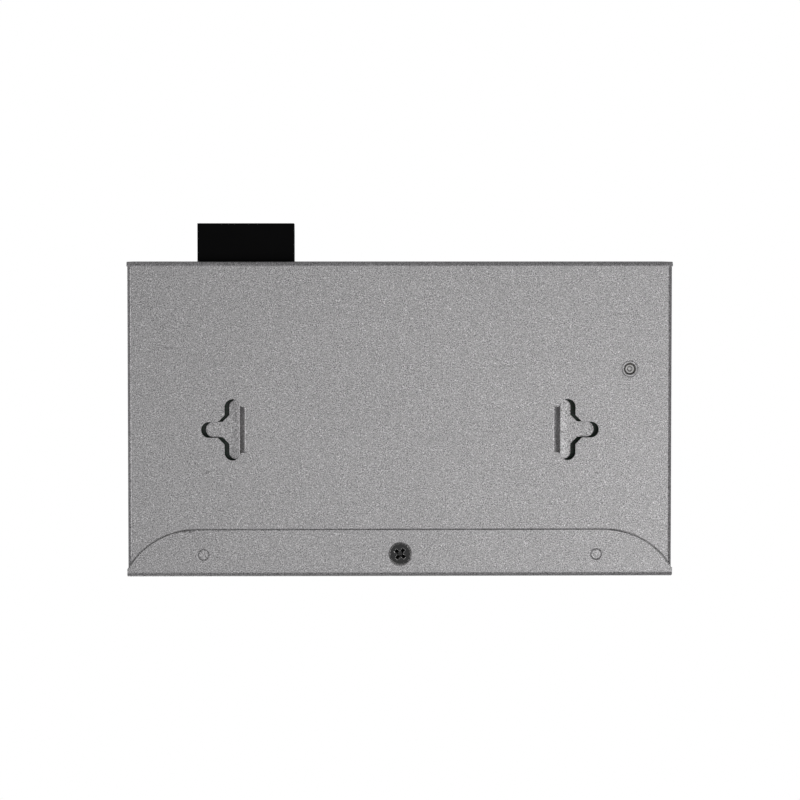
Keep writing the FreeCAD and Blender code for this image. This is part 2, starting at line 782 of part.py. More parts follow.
# ---------------------------------------------------------------- lamps
def light_pipe(side):
    """Four elbows of clear plastic joined by a bridge, their noses in the panel."""
    half = pipe_side / 2
    low, high = pipe_height - half, pipe_height + half
    foot = board_top + led_height + pipe_lift
    path = [(shield_front, low), (shield_front, high), (led_y - half, high), (led_y + half, low),
            (led_y + half, foot), (led_y - half, foot), (led_y - half, low)]
    pieces = []
    for x in block_ports(side):
        profile = [V(x - half, y, z) for y, z in path]
        pieces.append(Part.Face(Part.makePolygon(profile + profile[:1])).extrude(V(pipe_side, 0, 0)))
    ports = block_ports(side)
    bridge_y = (housing_front + housing_rear) / 2
    pieces.append(box((ports[0], ports[-1]), (bridge_y - bridge_size, bridge_y + bridge_size),
                      (pipe_height - bridge_size / 2, pipe_height + bridge_size / 2)))
    return union(pieces)


def status_leds():
    """Chip LEDs under the light pipes."""
    span = (board_top, board_top + led_height)
    return [box_at(x, led_y, led_width, led_length, span) for x in port_places()]


def power_led():
    """Lamp with a bevelled nose in the panel and its flange against the holder."""
    lamp = Part.makeCylinder(power_lamp_radius, power_lamp_length,
                             V(power_lamp_x, shield_front, pipe_height), toward_rear)
    nose = [edge for edge in lamp.Edges if edge.BoundBox.YMax < shield_front + touch]
    flange_start = shield_front + power_lamp_length - lamp_flange_length
    flange = Part.makeCylinder(power_lamp_radius + lamp_flange, lamp_flange_length,
                               V(power_lamp_x, flange_start, pipe_height), toward_rear)
    return union([lamp.makeChamfer(power_lamp_slope, nose), flange])


def led_holder():
    """Spacer that stands on the board and carries the power lamp."""
    y_front = shield_front + power_lamp_length
    tower = box((power_lamp_x - holder_width / 2, power_lamp_x + holder_width / 2),
                (y_front, y_front + holder_depth), (board_top, pipe_height + holder_width / 2))
    notch = box((power_lamp_x - holder_width, power_lamp_x + holder_width),
                (y_front + holder_front_leg, y_front + holder_depth - holder_rear_leg),
                (board_top - overrun, pipe_height - holder_width))
    return tower.cut(notch)


# ---------------------------------------------------------------- power terminal
def pole_places():
    """Middle of every pole along X."""
    return [terminal_centre + (index - (poles - 1) / 2) * pole_pitch for index in range(poles)]


def header_cavity(margin, y_range):
    """Space inside the header that the plug's nose fills, less a margin all round."""
    half = plug_width / 2 - header_wall - margin
    return box((terminal_centre - half, terminal_centre + half), y_range,
               (board_top + header_wall + margin, board_top + header_height - header_wall - margin))


def terminal_header():
    """Open box on the board with its mouth at the rear wall, and holes for the pins."""
    half = plug_width / 2
    body = box((terminal_centre - half, terminal_centre + half), (header_back, header_mouth),
               (board_top, board_top + header_height))
    cutters = [header_cavity(0, (header_back + 2 * header_wall, header_mouth + overrun))]
    side = pin_size / 2 + pin_clearance / 4
    high = pin_middle + side
    for x in pole_places():
        across = (x - side, x + side)
        cutters.append(box(across, (pin_leg_y - side, header_mouth), (pin_middle - side, high)))
        cutters.append(box(across, (pin_leg_y - side, pin_leg_y + side), (board_top - overrun, high)))
    return body.cut(cutters)


def header_pins():
    """Square pins that turn down through the board."""
    half = pin_size / 2
    pins = []
    for x in pole_places():
        across = (x - half, x + half)
        run = box(across, (pin_leg_y - half, pin_leg_y + pin_reach), (pin_middle - half, pin_middle + half))
        leg = box(across, (pin_leg_y - half, pin_leg_y + half), (board_bottom - pin_leg / 2, pin_middle))
        pins.append(union([run, leg]))
    return pins


def terminal_plug():
    """Plug body: a nose in the header, wire entries at the rear and screw wells on top."""
    half = plug_width / 2
    body = box((terminal_centre - half, terminal_centre + half), (header_mouth, plug_rear),
               (plug_base, plug_top))
    slope = [edge for edge in body.Edges
             if edge.BoundBox.ZMin > plug_top - touch and edge.BoundBox.YMin > plug_rear - touch]
    body = body.makeChamfer(plug_slope, slope)
    nose = header_cavity(nose_clearance, (nose_back, header_mouth))
    side = pin_size / 2 + pin_clearance
    cutters = []
    for x in pole_places():
        cutters.append(box_at(x, plug_rear, entry_width, 2 * entry_depth, (entry_floor, entry_roof)))
        cutters.append(post(x, plug_screw_y, well_radius, (entry_roof - touch, plug_top + overrun)))
        cutters.append(box((x - side, x + side), (nose_back - overrun, header_mouth + overrun),
                           (pin_middle - side, pin_middle + side)))
    for x in pole_places()[1:]:
        cutters.append(box_at(x - pole_pitch / 2, plug_rear, pole_groove_width, 2 * pole_groove_depth,
                              (plug_base + pole_groove_lift, plug_top - plug_slope)))
    return union([body, nose]).cut(cutters)


def plug_clamps():
    """Wire cages: square tubes that stand in the entries."""
    clamps = []
    low = entry_floor + clamp_gap
    high = entry_roof - clamp_gap
    half = entry_width / 2 - clamp_gap
    y_back = plug_rear - entry_depth + clamp_rear_gap
    for x in pole_places():
        cage = box((x - half, x + half), (y_back, plug_rear - clamp_setback), (low, high))
        opening = box((x - half + clamp_wall, x + half - clamp_wall), (y_back - overrun, plug_rear),
                      (low + clamp_wall, high - clamp_wall))
        thread = post(x, plug_screw_y, clamp_screw_radius + thread_clearance,
                      (high - overrun, high + overrun))
        clamps.append(cage.cut([opening, thread]))
    return clamps


def plug_screws():
    """Slotted clamp screws in the wells."""
    top = entry_roof + clamp_screw_height
    span = (entry_roof - clamp_wall - clamp_screw_reach, top)
    slot_length = 2 * (clamp_screw_radius + overrun)
    screws = []
    for x in pole_places():
        slot = box_at(x, plug_screw_y, slot_length, screw_slot_width, (top - screw_slot_depth, top + overrun))
        screws.append(post(x, plug_screw_y, clamp_screw_radius, span).cut(slot))
    return screws


def plug_contacts():
    """Spring forks that grip the header's pins inside the nose."""
    inner = pin_size / 2 + fork_gap
    outer = inner + fork_leaf
    start = nose_back + fork_start
    end = header_mouth + fork_reach
    forks = []
    for x in pole_places():
        across = (x - pin_size / 2, x + pin_size / 2)
        forks.append(union([box(across, (start, end), (pin_middle + inner, pin_middle + outer)),
                            box(across, (start, end), (pin_middle - outer, pin_middle - inner)),
                            box(across, (end - fork_heel, end), (pin_middle - outer, pin_middle + outer))]))
    return forks


# ---------------------------------------------------------------- parts on the board
def chip(x, y, width, depth, height, leads, lead_pitch, four_sides):
    """Moulded chip with flat gull leads along two or four sides."""
    pieces = [box_at(x, y, width, depth, (board_top + chip_lift, board_top + height))]
    half_lead = lead_width / 2
    foot = (board_top, board_top + lead_width)
    for index in range(leads):
        offset = (index - (leads - 1) / 2) * lead_pitch
        for side in (-1, 1):
            span = sorted((side * (width / 2 - lead_width), side * (width / 2 + lead_length)))
            along = (y + offset - half_lead, y + offset + half_lead)
            pieces.append(box((x + span[0], x + span[1]), along, foot))
            if four_sides:
                span = sorted((side * (depth / 2 - lead_width), side * (depth / 2 + lead_length)))
                along = (x + offset - half_lead, x + offset + half_lead)
                pieces.append(box(along, (y + span[0], y + span[1]), foot))
    return union(pieces)


def heat_sink():
    """Extruded heat sink with upright fins."""
    bottom = board_top + chip_height + pad_thickness
    pieces = [box_at(chip_x, chip_y, sink_size, sink_size, (bottom, bottom + sink_base))]
    step = (sink_size - fin_width) / (fin_count - 1)
    for index in range(fin_count):
        x = chip_x - sink_size / 2 + fin_width / 2 + index * step
        pieces.append(box_at(x, chip_y, fin_width, sink_size, (bottom, bottom + sink_base + fin_height)))
    return union(pieces)


def lan_transformers():
    """Two isolation transformers behind each jack block."""
    y = led_y + transformer_behind_leds
    return [chip(side * block_x + offset, y, transformer_width, transformer_depth, transformer_height,
                 transformer_leads, transformer_lead_pitch, False)
            for side in (-1, 1) for offset in (-port_pitch, port_pitch)]


def bulk_capacitors():
    """Row of radial electrolytic capacitors."""
    span = (board_top, board_top + capacitor_height)
    return [post(capacitor_x + index * capacitor_pitch, capacitor_y, capacitor_radius, span)
            for index in range(capacitor_count)]


def power_inductors():
    """Two shielded inductors with their corners cut off."""
    span = (board_top, board_top + inductor_height)
    return [cut_corner_plate(inductor_x, capacitor_y + index * (inductor_size + inductor_gap), inductor_size,
                             inductor_size, inductor_corner, span) for index in range(2)]


def crystal_can():
    """Crystal in a low oval can."""
    half_length = crystal_length / 2
    half = crystal_width / 2
    corners = [V(memory_x + along * half_length, crystal_y + across * half, board_top)
               for along, across in ((-1, -1), (1, -1), (1, 1), (-1, 1))]
    return rounded_face(corners, [half] * 4).extrude(V(0, 0, crystal_height))


def regulator_chips():
    """Two step-down regulators beside their inductors."""
    step = inductor_size + inductor_gap
    places = [(inductor_x, capacitor_y + 2 * step - inductor_gap / 2),
              (inductor_x + step, capacitor_y + step)]
    return [chip(x, y, small_chip_length, small_chip_width, small_chip_height, regulator_leads,
                 small_chip_lead_pitch, False) for x, y in places]


def memory_chip():
    """Small memory chip beside the switch chip."""
    return chip(memory_x, memory_y, small_chip_width, small_chip_length, small_chip_height,
                memory_leads, small_chip_lead_pitch, False)


def input_protection():
    """Fuse, then two surge arresters, in a row in front of the power header."""
    y = header_back - protection_gap
    arrester = (arrester_depth, arrester_height)
    parts = []
    for index, (depth, height) in enumerate(((fuse_depth, fuse_height), arrester, arrester)):
        x = terminal_centre + (index - 1) * protection_pitch
        parts.append(box_at(x, y, protection_length, depth, (board_top, board_top + height)))
    return parts


def chip_capacitors():
    """Small capacitors in columns beside the switch chip."""
    columns = [memory_x - (index + 2) * chip_capacitor_pitch for index in range(chip_capacitor_columns)]
    columns.append(chip_x + sink_size / 2 + chip_capacitor_width)
    first = chip_y - (chip_capacitor_rows - 1) / 2 * chip_capacitor_pitch
    span = (board_top, board_top + chip_capacitor_height)
    return [box_at(x, first + row * chip_capacitor_pitch, chip_capacitor_length, chip_capacitor_width, span)
            for x in columns for row in range(chip_capacitor_rows)]


def build():
    """Write every node."""
    os.makedirs("parts", exist_ok=True)
    save("base_tray", base_tray())
    save("top_cover", top_cover())
    save("cover_screw", cover_screw())
    save("nut_plate", nut_plate())
    save("circuit_board", circuit_board())
    save("through_standoff", through_standoff())
    save("blind_standoffs", *blind_standoffs())
    places = fixing_places()
    save("earth_screw", earth_screw(*places[0]))
    save("board_screws", *[pan_screw(x, y, board_screw_length) for x, y in places[1:]])
    for name, side in (("left", -1), ("right", 1)):
        save("jack_housing_" + name, jack_housing(side))
        save("jack_shield_" + name, jack_shield(side))
        save("jack_contacts_" + name, *jack_contacts(side))
        save("light_pipe_" + name, light_pipe(side))
    save("status_leds", *status_leds())
    save("power_led", power_led())
    save("led_holder", led_holder())
    save("terminal_header", terminal_header())
    save("header_pins", *header_pins())
    save("terminal_plug", terminal_plug())
    save("plug_clamps", *plug_clamps())
    save("plug_screws", *plug_screws())
    save("plug_contacts", *plug_contacts())
    save("switch_chip", chip(chip_x, chip_y, chip_size, chip_size, chip_height,
                             chip_leads, chip_lead_pitch, True))
    chip_top = board_top + chip_height
    save("thermal_pad", box_at(chip_x, chip_y, pad_size, pad_size, (chip_top, chip_top + pad_thickness)))
    save("heat_sink", heat_sink())
    save("lan_transformers", *lan_transformers())
    save("power_inductors", *power_inductors())
    save("bulk_capacitors", *bulk_capacitors())
    save("crystal_can", crystal_can())
    save("regulator_chips", *regulator_chips())
    save("memory_chip", memory_chip())
    fuse, *arresters = input_protection()
    save("input_fuse", fuse)
    save("surge_arresters", *arresters)
    save("chip_capacitors", *chip_capacitors())


build()
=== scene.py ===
import logging
import math
from dataclasses import dataclass, field
from enum import Enum
from typing import Any, Callable, Optional, Sequence, Union

import bmesh
import bpy
from mathutils import Matrix, Vector
from mathutils.bvhtree import BVHTree


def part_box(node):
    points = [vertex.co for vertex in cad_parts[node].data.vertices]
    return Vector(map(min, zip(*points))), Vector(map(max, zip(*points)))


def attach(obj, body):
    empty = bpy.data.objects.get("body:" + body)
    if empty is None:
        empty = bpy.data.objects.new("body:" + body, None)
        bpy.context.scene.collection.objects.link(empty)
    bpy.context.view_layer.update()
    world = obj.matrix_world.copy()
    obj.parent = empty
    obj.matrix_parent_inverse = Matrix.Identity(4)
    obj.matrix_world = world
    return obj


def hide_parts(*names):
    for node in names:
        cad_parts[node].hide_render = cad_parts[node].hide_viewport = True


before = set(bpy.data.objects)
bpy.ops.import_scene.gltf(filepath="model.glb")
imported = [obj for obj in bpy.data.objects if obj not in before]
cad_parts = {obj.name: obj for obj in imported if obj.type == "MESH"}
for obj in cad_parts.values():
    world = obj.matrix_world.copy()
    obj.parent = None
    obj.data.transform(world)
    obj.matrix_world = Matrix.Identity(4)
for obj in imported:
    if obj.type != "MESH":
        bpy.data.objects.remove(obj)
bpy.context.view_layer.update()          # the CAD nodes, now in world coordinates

# Looks of a compact eight-port network switch in a folded sheet steel case.
# Lengths are in metres, in the construction's own frame: the underside is z = 0, the front panel with
# its jacks looks along -Y, and the power terminal stands out at +Y.

log = logging.getLogger("network_switch")

MM = 0.001
NOISE_MEAN = 0.5
FLATNESS = math.radians(0.5)   # faces that turn less than this are dissolved into one
BODY = "root"
Colour = tuple[float, float, float]
FaceTest = Callable[[Vector, Vector], bool]
EdgeTest = Callable[[Vector, Vector], bool]


# ---------------------------------------------------------------- shader values and nodes
class Value:
    """A number that varies over a surface: an output socket to which Python's operators add Math nodes."""

    def __init__(self, sheet: "NodeSheet", socket: bpy.types.NodeSocket) -> None:
        """Wraps an output socket of a sheet's node tree."""
        self.sheet = sheet
        self.socket = socket

    def __add__(self, other: "Number") -> "Value":
        """Sum."""
        return self.sheet.maths("ADD", self, other)

    __radd__ = __add__

    def __mul__(self, other: "Number") -> "Value":
        """Product."""
        return self.sheet.maths("MULTIPLY", self, other)

    __rmul__ = __mul__

    def __sub__(self, other: "Number") -> "Value":
        """Difference."""
        return self.sheet.maths("SUBTRACT", self, other)

    def __rsub__(self, other: "Number") -> "Value":
        """Difference, taken from a plain number."""
        return self.sheet.maths("SUBTRACT", other, self)

    def __gt__(self, other: "Number") -> "Value":
        """One where this value is the greater, else nought."""
        return self.sheet.maths("GREATER_THAN", self, other)

    def __lt__(self, other: "Number") -> "Value":
        """One where this value is the smaller, else nought."""
        return self.sheet.maths("LESS_THAN", self, other)

    def __abs__(self) -> "Value":
        """Size without its sign."""
        return self.sheet.maths("ABSOLUTE", self)

    def swing(self, share: float) -> "Value":
        """Turns a noise about its mean, a half, into one about nought, of the given share."""
        return (self - NOISE_MEAN) * share

    def over(self, low: float, high: float) -> "Value":
        """Rises smoothly from nought at low to one at high."""
        return Value(self.sheet, self.sheet.node(
            "ShaderNodeMapRange", {"interpolation_type": "SMOOTHSTEP"},
            {"Value": self, "From Min": low, "From Max": high}).outputs["Result"])

    def cycle(self, period: float) -> "Value":
        """Distance from the middle of a repeating period, so nought at each multiple of it."""
        return abs(self.sheet.maths("WRAP", self, period / 2, -period / 2))


Number = Union[float, Value]


class NodeSheet:
    """The node tree of one material, on Object coordinates."""

    def __init__(self, name: str) -> None:
        """Starts an empty material of that name."""
        self.material = bpy.data.materials.new(name)
        self.material.use_nodes = True
        self.tree = self.material.node_tree
        self.tree.nodes.clear()
        self.place = self.node("ShaderNodeTexCoord").outputs["Object"]
        split = self.node("ShaderNodeSeparateXYZ", {}, {"Vector": self.place})
        self.x, self.y, self.z = (Value(self, split.outputs[axis]) for axis in "XYZ")

    def node(self, kind: str, settings: Optional[dict[str, Any]] = None,
             inputs: Optional[dict[Union[str, int], Any]] = None) -> bpy.types.Node:
        """Adds one node.

        Args:
            kind: The node's type.
            settings: Its own properties, set first.
            inputs: Values, or links from a Value or a socket, by the input's name or number.

        Returns:
            The new node.
        """
        node = self.tree.nodes.new(kind)
        for name, value in (settings or {}).items():
            setattr(node, name, value)
        for name, value in (inputs or {}).items():
            if isinstance(value, Value):
                self.tree.links.new(value.socket, node.inputs[name])
            elif isinstance(value, bpy.types.NodeSocket):
                self.tree.links.new(value, node.inputs[name])
            else:
                node.inputs[name].default_value = value
        return node

    def maths(self, operation: str, *numbers: Number) -> Value:
        """Adds a Math node on up to three numbers."""
        node = self.node("ShaderNodeMath", {"operation": operation}, dict(enumerate(numbers)))
        return Value(self, node.outputs[0])

    def stretched(self, stretch: Colour) -> bpy.types.NodeSocket:
        """Object coordinates scaled along each axis."""
        return self.node("ShaderNodeVectorMath", {"operation": "MULTIPLY"},
                         {0: self.place, 1: stretch}).outputs[0]

    def noise(self, size: float, detail: float = 2.0, roughness: float = 0.5,
              stretch: Colour = (1.0, 1.0, 1.0)) -> Value:
        """Soft noise from nought to one.

        Args:
            size: Width of a blotch in metres.
            detail: Number of finer layers.
            roughness: Weight of the finer layers.
            stretch: Scale of the pattern along each axis.

        Returns:
            The noise.
        """
        node = self.node("ShaderNodeTexNoise", {"noise_dimensions": "3D"}, {
            "Vector": self.stretched(stretch), "Scale": 1.0 / size, "Detail": detail, "Roughness": roughness})
        return Value(self, node.outputs["Fac"])

    def cells(self, size: float, stretch: Colour = (1.0, 1.0, 1.0)) -> tuple[Value, Value]:
        """Random cells about size across.

        Args:
            size: Width of a cell in metres.
            stretch: Scale of the pattern along each axis.

        Returns:
            The distance to the cell's middle, in cells, and the cell's own random number.
        """
        node = self.node("ShaderNodeTexVoronoi", {"voronoi_dimensions": "3D"},
                         {"Vector": self.stretched(stretch), "Scale": 1.0 / size})
        split = self.node("ShaderNodeSeparateColor", {}, {"Color": node.outputs["Color"]})
        return Value(self, node.outputs["Distance"]), Value(self, split.outputs["Red"])

    def ring(self, x: float, y: float) -> Value:
        """Distance from an upright axis."""
        across = self.x - x
        along = self.y - y
        return self.maths("SQRT", across * across + along * along)

    def blend(self, mask: Number, first: Any, second: Any) -> bpy.types.NodeSocket:
        """The first colour where the mask is nought and the second where it is one."""
        ends = [(*colour, 1.0) if isinstance(colour, tuple) else colour for colour in (first, second)]
        node = self.node("ShaderNodeMix", {"data_type": "RGBA", "clamp_factor": True},
                         {0: mask, 6: ends[0], 7: ends[1]})
        return node.outputs[2]

    def surface(self, colour: Any, roughness: Number, metallic: Number = 0.0,
                height: Optional[Value] = None, depth: float = 0.01 * MM, **fixed: Any) -> bpy.types.Material:
        """Ends the sheet in one Principled shader.

        Args:
            colour: Base colour, plain or linked.
            roughness: Roughness, plain or varying.
            metallic: Metallic share, plain or varying.
            height: Relief from nought to one, if there is any.
            depth: Depth of that relief in metres.
            fixed: Other inputs that are the same all over, named with underscores.

        Returns:
            The finished material.
        """
        inputs: dict[Union[str, int], Any] = {
            "Base Color": (*colour, 1.0) if isinstance(colour, tuple) else colour,
            "Roughness": roughness, "Metallic": metallic}
        inputs.update({name.replace("_", " "): value for name, value in fixed.items()})
        if height is not None:
            inputs["Normal"] = self.node("ShaderNodeBump", {}, {
                "Strength": 1.0, "Distance": depth, "Height": height}).outputs["Normal"]
        shader = self.node("ShaderNodeBsdfPrincipled", {}, inputs)
        self.node("ShaderNodeOutputMaterial", {}, {"Surface": shader.outputs["BSDF"]})
        return self.material


# ---------------------------------------------------------------- finishes
@dataclass(frozen=True)
class Finish:
    """A surface finish, made once and shared by the pieces that have it."""

    slot: str
    colour: Colour
    roughness: float = 0.5

    def material(self) -> bpy.types.Material:
        """The finish's material, made at its first use."""
        name = self.key()
        return bpy.data.materials.get(name) or self.make(NodeSheet(name))

    def key(self) -> str:
        """Name under which the material is kept."""
        return f"{self.slot}_{type(self).__name__}"

    def make(self, sheet: NodeSheet) -> bpy.types.Material:
        """Fills the sheet; each kind of finish has its own."""
        raise NotImplementedError


@dataclass(frozen=True)
class PowderCoat(Finish):
    """Metallic powder coat: a fine pebbled skin with light and dark flakes, the rarest of them painted
    brighter as painted glints.
    """

    grain: float = 0.25 * MM
    flake: float = 0.2 * MM
    drift: float = 24.0 * MM
    contrast: float = 1.9
    grain_share: float = 2.0
    flake_share: float = 0.3
    glint_from: float = 0.9
    glint_share: float = 0.25
    drift_share: float = 0.06
    gloss_share: float = 0.2
    flake_relief: float = 0.25
    metallic: float = 0.6
    relief: float = 0.01 * MM

    def make(self, sheet: NodeSheet) -> bpy.types.Material:
        """Grain in the colour, the gloss and the relief, over a faint broad unevenness, with painted glints
        on the rarest flakes.
        """
        grain = sheet.noise(self.grain, 2.0, 0.6)
        middle, chance = sheet.cells(self.flake)
        drift = sheet.noise(self.drift, 2.0)
        # Painted glints: the rarest flakes are painted brighter in the colour, standing in for their sparkle.
        glint = chance.over(self.glint_from, 1.0) * self.glint_share
        spread = grain.swing(self.grain_share) + chance.swing(self.flake_share) + glint
        share = 1.0 + spread * self.contrast + drift.swing(self.drift_share)
        tint = sheet.node("ShaderNodeVectorMath", {"operation": "SCALE"},
                          {0: self.colour, "Scale": share}).outputs[0]
        height = grain + (1.0 - middle) * self.flake_relief
        rough = self.roughness + grain.swing(self.gloss_share)
        return sheet.surface(tint, rough, self.metallic, height, self.relief)


@dataclass(frozen=True)
class Plated(Finish):
    """Plated or bare metal with drawn streaks and faint cloudiness."""

    streaks: Colour = (1.0, 1.0, 1.0)
    cloud: float = 0.12
    cloud_tint: Colour = (0.75, 0.68, 0.52)

    def make(self, sheet: NodeSheet) -> bpy.types.Material:
        """Streaks in gloss and relief, clouds in the colour."""
        streak = sheet.noise(0.12 * MM, 3.0, 0.6, self.streaks)
        cloud = sheet.noise(1.6 * MM, 3.0)
        colour = sheet.blend(cloud.swing(2.0 * self.cloud) + self.cloud, self.colour, self.cloud_tint)
        rough = self.roughness + streak.swing(0.18) + cloud.swing(0.1)
        return sheet.surface(colour, rough, 1.0, streak, 0.004 * MM)


@dataclass(frozen=True)
class BlackOxide(Finish):
    """Blackened steel, oiled, and rubbed lighter in fine scratches; a high rub share also paints bright metal
    as painted glints.
    """

    rub: float = 0.4
    worn: Colour = (0.2, 0.19, 0.185)
    share: tuple[float, float] = (0.6, 0.72)

    def key(self) -> str:
        """Name under which the material is kept, which tells the worn edges with their painted glints apart.
        """
        return f"{self.slot}_{'worn' if self.rub > 0.5 else 'oiled'}"

    def make(self, sheet: NodeSheet) -> bpy.types.Material:
        """Dark oiled skin with bright rubbed specks, which at a high rub share are painted glints as well as
        wear.
        """
        speck = sheet.noise(0.3 * MM, 3.0, 0.7)
        rub = speck.over(*self.share) * self.rub
        colour = sheet.blend(rub, self.colour, self.worn)
        rough = self.roughness + speck.swing(0.16)
        return sheet.surface(colour, rough, 0.25 + rub * 0.7, speck, 0.012 * MM)


@dataclass(frozen=True)
class Moulded(Finish):
    """Moulded plastic with a fine spark-eroded texture and faint flow marks."""

    texture: float = 0.11 * MM
    relief: float = 0.006 * MM
    flow: Colour = (1.0, 1.0, 0.15)
    gloss: float = 0.45

    def make(self, sheet: NodeSheet) -> bpy.types.Material:
        """Fine texture in the relief, flow marks in colour and gloss."""
        texture = sheet.noise(self.texture, 2.0, 0.6)
        flow = sheet.noise(5.0 * MM, 3.0, 0.5, self.flow)
        lighter: Colour = tuple(1.35 * c + 0.001 for c in self.colour)
        colour = sheet.blend(flow.over(0.35, 0.7) * 0.5 + texture.swing(0.2), self.colour, lighter)
        rough = self.roughness + flow.swing(0.12) + texture.swing(0.08)
        return sheet.surface(colour, rough, 0.0, texture, self.relief, Specular_IOR_Level=self.gloss)


@dataclass(frozen=True)
class ClearPlastic(Finish):
    """Clear moulded plastic, faintly uneven inside."""

    tint_edges: float = 0.04
    clearness: float = 0.4

    def make(self, sheet: NodeSheet) -> bpy.types.Material:
        """Mostly clear, with soft ripples in the relief."""
        ripple = sheet.noise(1.4 * MM, 2.0)
        colour = sheet.blend(ripple * self.tint_edges, self.colour, (0.7, 0.75, 0.8))
        return sheet.surface(colour, self.roughness, 0.0, ripple, 0.02 * MM,
                             Transmission_Weight=self.clearness, IOR=1.49)


@dataclass(frozen=True)
class SolderMask(Finish):
    """Green solder mask over copper tracks, with tinned rings round the fixings."""

    fixings: tuple[tuple[float, float], ...] = ()
    ring: float = 3.1 * MM
    track_pitch: float = 0.9 * MM
    track_width: float = 0.2 * MM

    def make(self, sheet: NodeSheet) -> bpy.types.Material:
        """Tracks that run along X or Y by patches, small vias, and bare rings."""
        _, patch = sheet.cells(9.0 * MM, (1.0, 1.0, 0.0))
        along_x = sheet.y.cycle(self.track_pitch) < self.track_width
        along_y = sheet.x.cycle(self.track_pitch) < self.track_width
        tracks = along_x * (patch > 0.62) + along_y * (patch < 0.3)
        middle, chance = sheet.cells(2.6 * MM, (1.0, 1.0, 0.0))
        vias = (middle < 0.12) * (chance > 0.55)
        mottle = sheet.noise(0.8 * MM, 3.0)
        green = sheet.blend(tracks, self.colour, tuple(2.1 * c for c in self.colour))
        green = sheet.blend(mottle * 0.25, green, tuple(0.5 * c for c in self.colour))
        bare: Number = vias
        for x, y in self.fixings:
            bare = bare + (sheet.ring(x, y) < self.ring)
        colour = sheet.blend(bare, green, (0.62, 0.6, 0.55))
        rough = self.roughness + mottle.swing(0.1)
        return sheet.surface(colour, rough, bare * 0.9, tracks + mottle * 0.2, 0.02 * MM)


@dataclass(frozen=True)
class MouldedChip(Finish):
    """Black epoxy package, fine-grained, with a faint cloudiness."""

    def make(self, sheet: NodeSheet) -> bpy.types.Material:
        """Fine matt grain."""
        grain = sheet.noise(0.09 * MM, 3.0, 0.7)
        cloud = sheet.noise(3.0 * MM, 2.0)
        colour = sheet.blend(grain * 0.4 + cloud * 0.2, self.colour, tuple(2.2 * c for c in self.colour))
        return sheet.surface(colour, self.roughness + grain.swing(0.2), 0.0, grain, 0.008 * MM)


@dataclass(frozen=True)
class Sintered(Finish):
    """Pressed ceramic or ferrite with tiny pits."""

    def make(self, sheet: NodeSheet) -> bpy.types.Material:
        """Pits in relief, with painted shade in them in the colour."""
        middle, chance = sheet.cells(0.2 * MM)
        pit = (middle < 0.25) * (chance > 0.7)
        cloud = sheet.noise(1.2 * MM, 3.0)
        # Painted shade: the pits are darkened in the colour as well as sunk in the relief.
        colour = sheet.blend(pit * 0.6 + cloud * 0.25, self.colour, tuple(0.4 * c for c in self.colour))
        return sheet.surface(colour, self.roughness + cloud.swing(0.15), 0.0, 1.0 - pit, 0.012 * MM)


@dataclass(frozen=True)
class Anodised(Finish):
    """Black anodised aluminium with extrusion lines."""

    def make(self, sheet: NodeSheet) -> bpy.types.Material:
        """Lines along the fins."""
        lines = sheet.noise(0.3 * MM, 3.0, 0.6, (1.0, 0.03, 1.0))
        colour = sheet.blend(lines, self.colour, tuple(2.4 * c for c in self.colour))
        return sheet.surface(colour, self.roughness + lines.swing(0.2), 0.55, lines, 0.006 * MM)


@dataclass(frozen=True)
class CanSleeve(Finish):
    """Capacitor can: a printed sleeve with a pale polarity band, and a bare scored top."""

    centres: tuple[tuple[float, float], ...] = ()
    radius: float = 4.0 * MM
    top: float = 18.0 * MM
    band: float = 2.2 * MM
    score: float = 0.18 * MM

    def make(self, sheet: NodeSheet) -> bpy.types.Material:
        """Sleeve, band and top told apart by place, with painted shade in the scored lines."""
        band: Number = 0.0
        bare: Number = 0.0
        score: Number = 0.0
        for x, y in self.centres:
            near = sheet.ring(x, y) < self.radius * 1.2
            band = near * (sheet.y < y - self.radius + self.band / 2) + band
            disc = (sheet.ring(x, y) < self.radius * 0.86) * (sheet.z > self.top - 0.2 * MM)
            lines = (abs(sheet.x - x) < self.score) + (abs(sheet.y - y) < self.score)
            bare = disc + bare
            score = disc * (lines > 0.5) + score
        grain = sheet.noise(0.3 * MM, 2.0)
        sleeve = sheet.blend(band, self.colour, (0.42, 0.43, 0.45))
        colour = sheet.blend(bare, sleeve, (0.72, 0.72, 0.73))
        # Painted shade: the scored lines are darkened in the colour as well as sunk in the relief.
        colour = sheet.blend(score * 0.7, colour, (0.2, 0.2, 0.2))
        rough = self.roughness + grain.swing(0.1)
        return sheet.surface(colour, rough, bare, grain * 0.2 - score, 0.03 * MM)


@dataclass(frozen=True)
class SoftPad(Finish):
    """Soft filled pad, matt and slightly granular."""

    def make(self, sheet: NodeSheet) -> bpy.types.Material:
        """Granules in colour and relief."""
        grain = sheet.noise(0.25 * MM, 3.0, 0.7)
        colour = sheet.blend(grain, self.colour, tuple(0.7 * c for c in self.colour))
        return sheet.surface(colour, self.roughness, 0.0, grain, 0.02 * MM)


CASE_COAT = PowderCoat("case_coat", (0.455, 0.447, 0.451), 0.31)
SCREW_BLACK = BlackOxide("black_screw", (0.007, 0.007, 0.0075), 0.2)
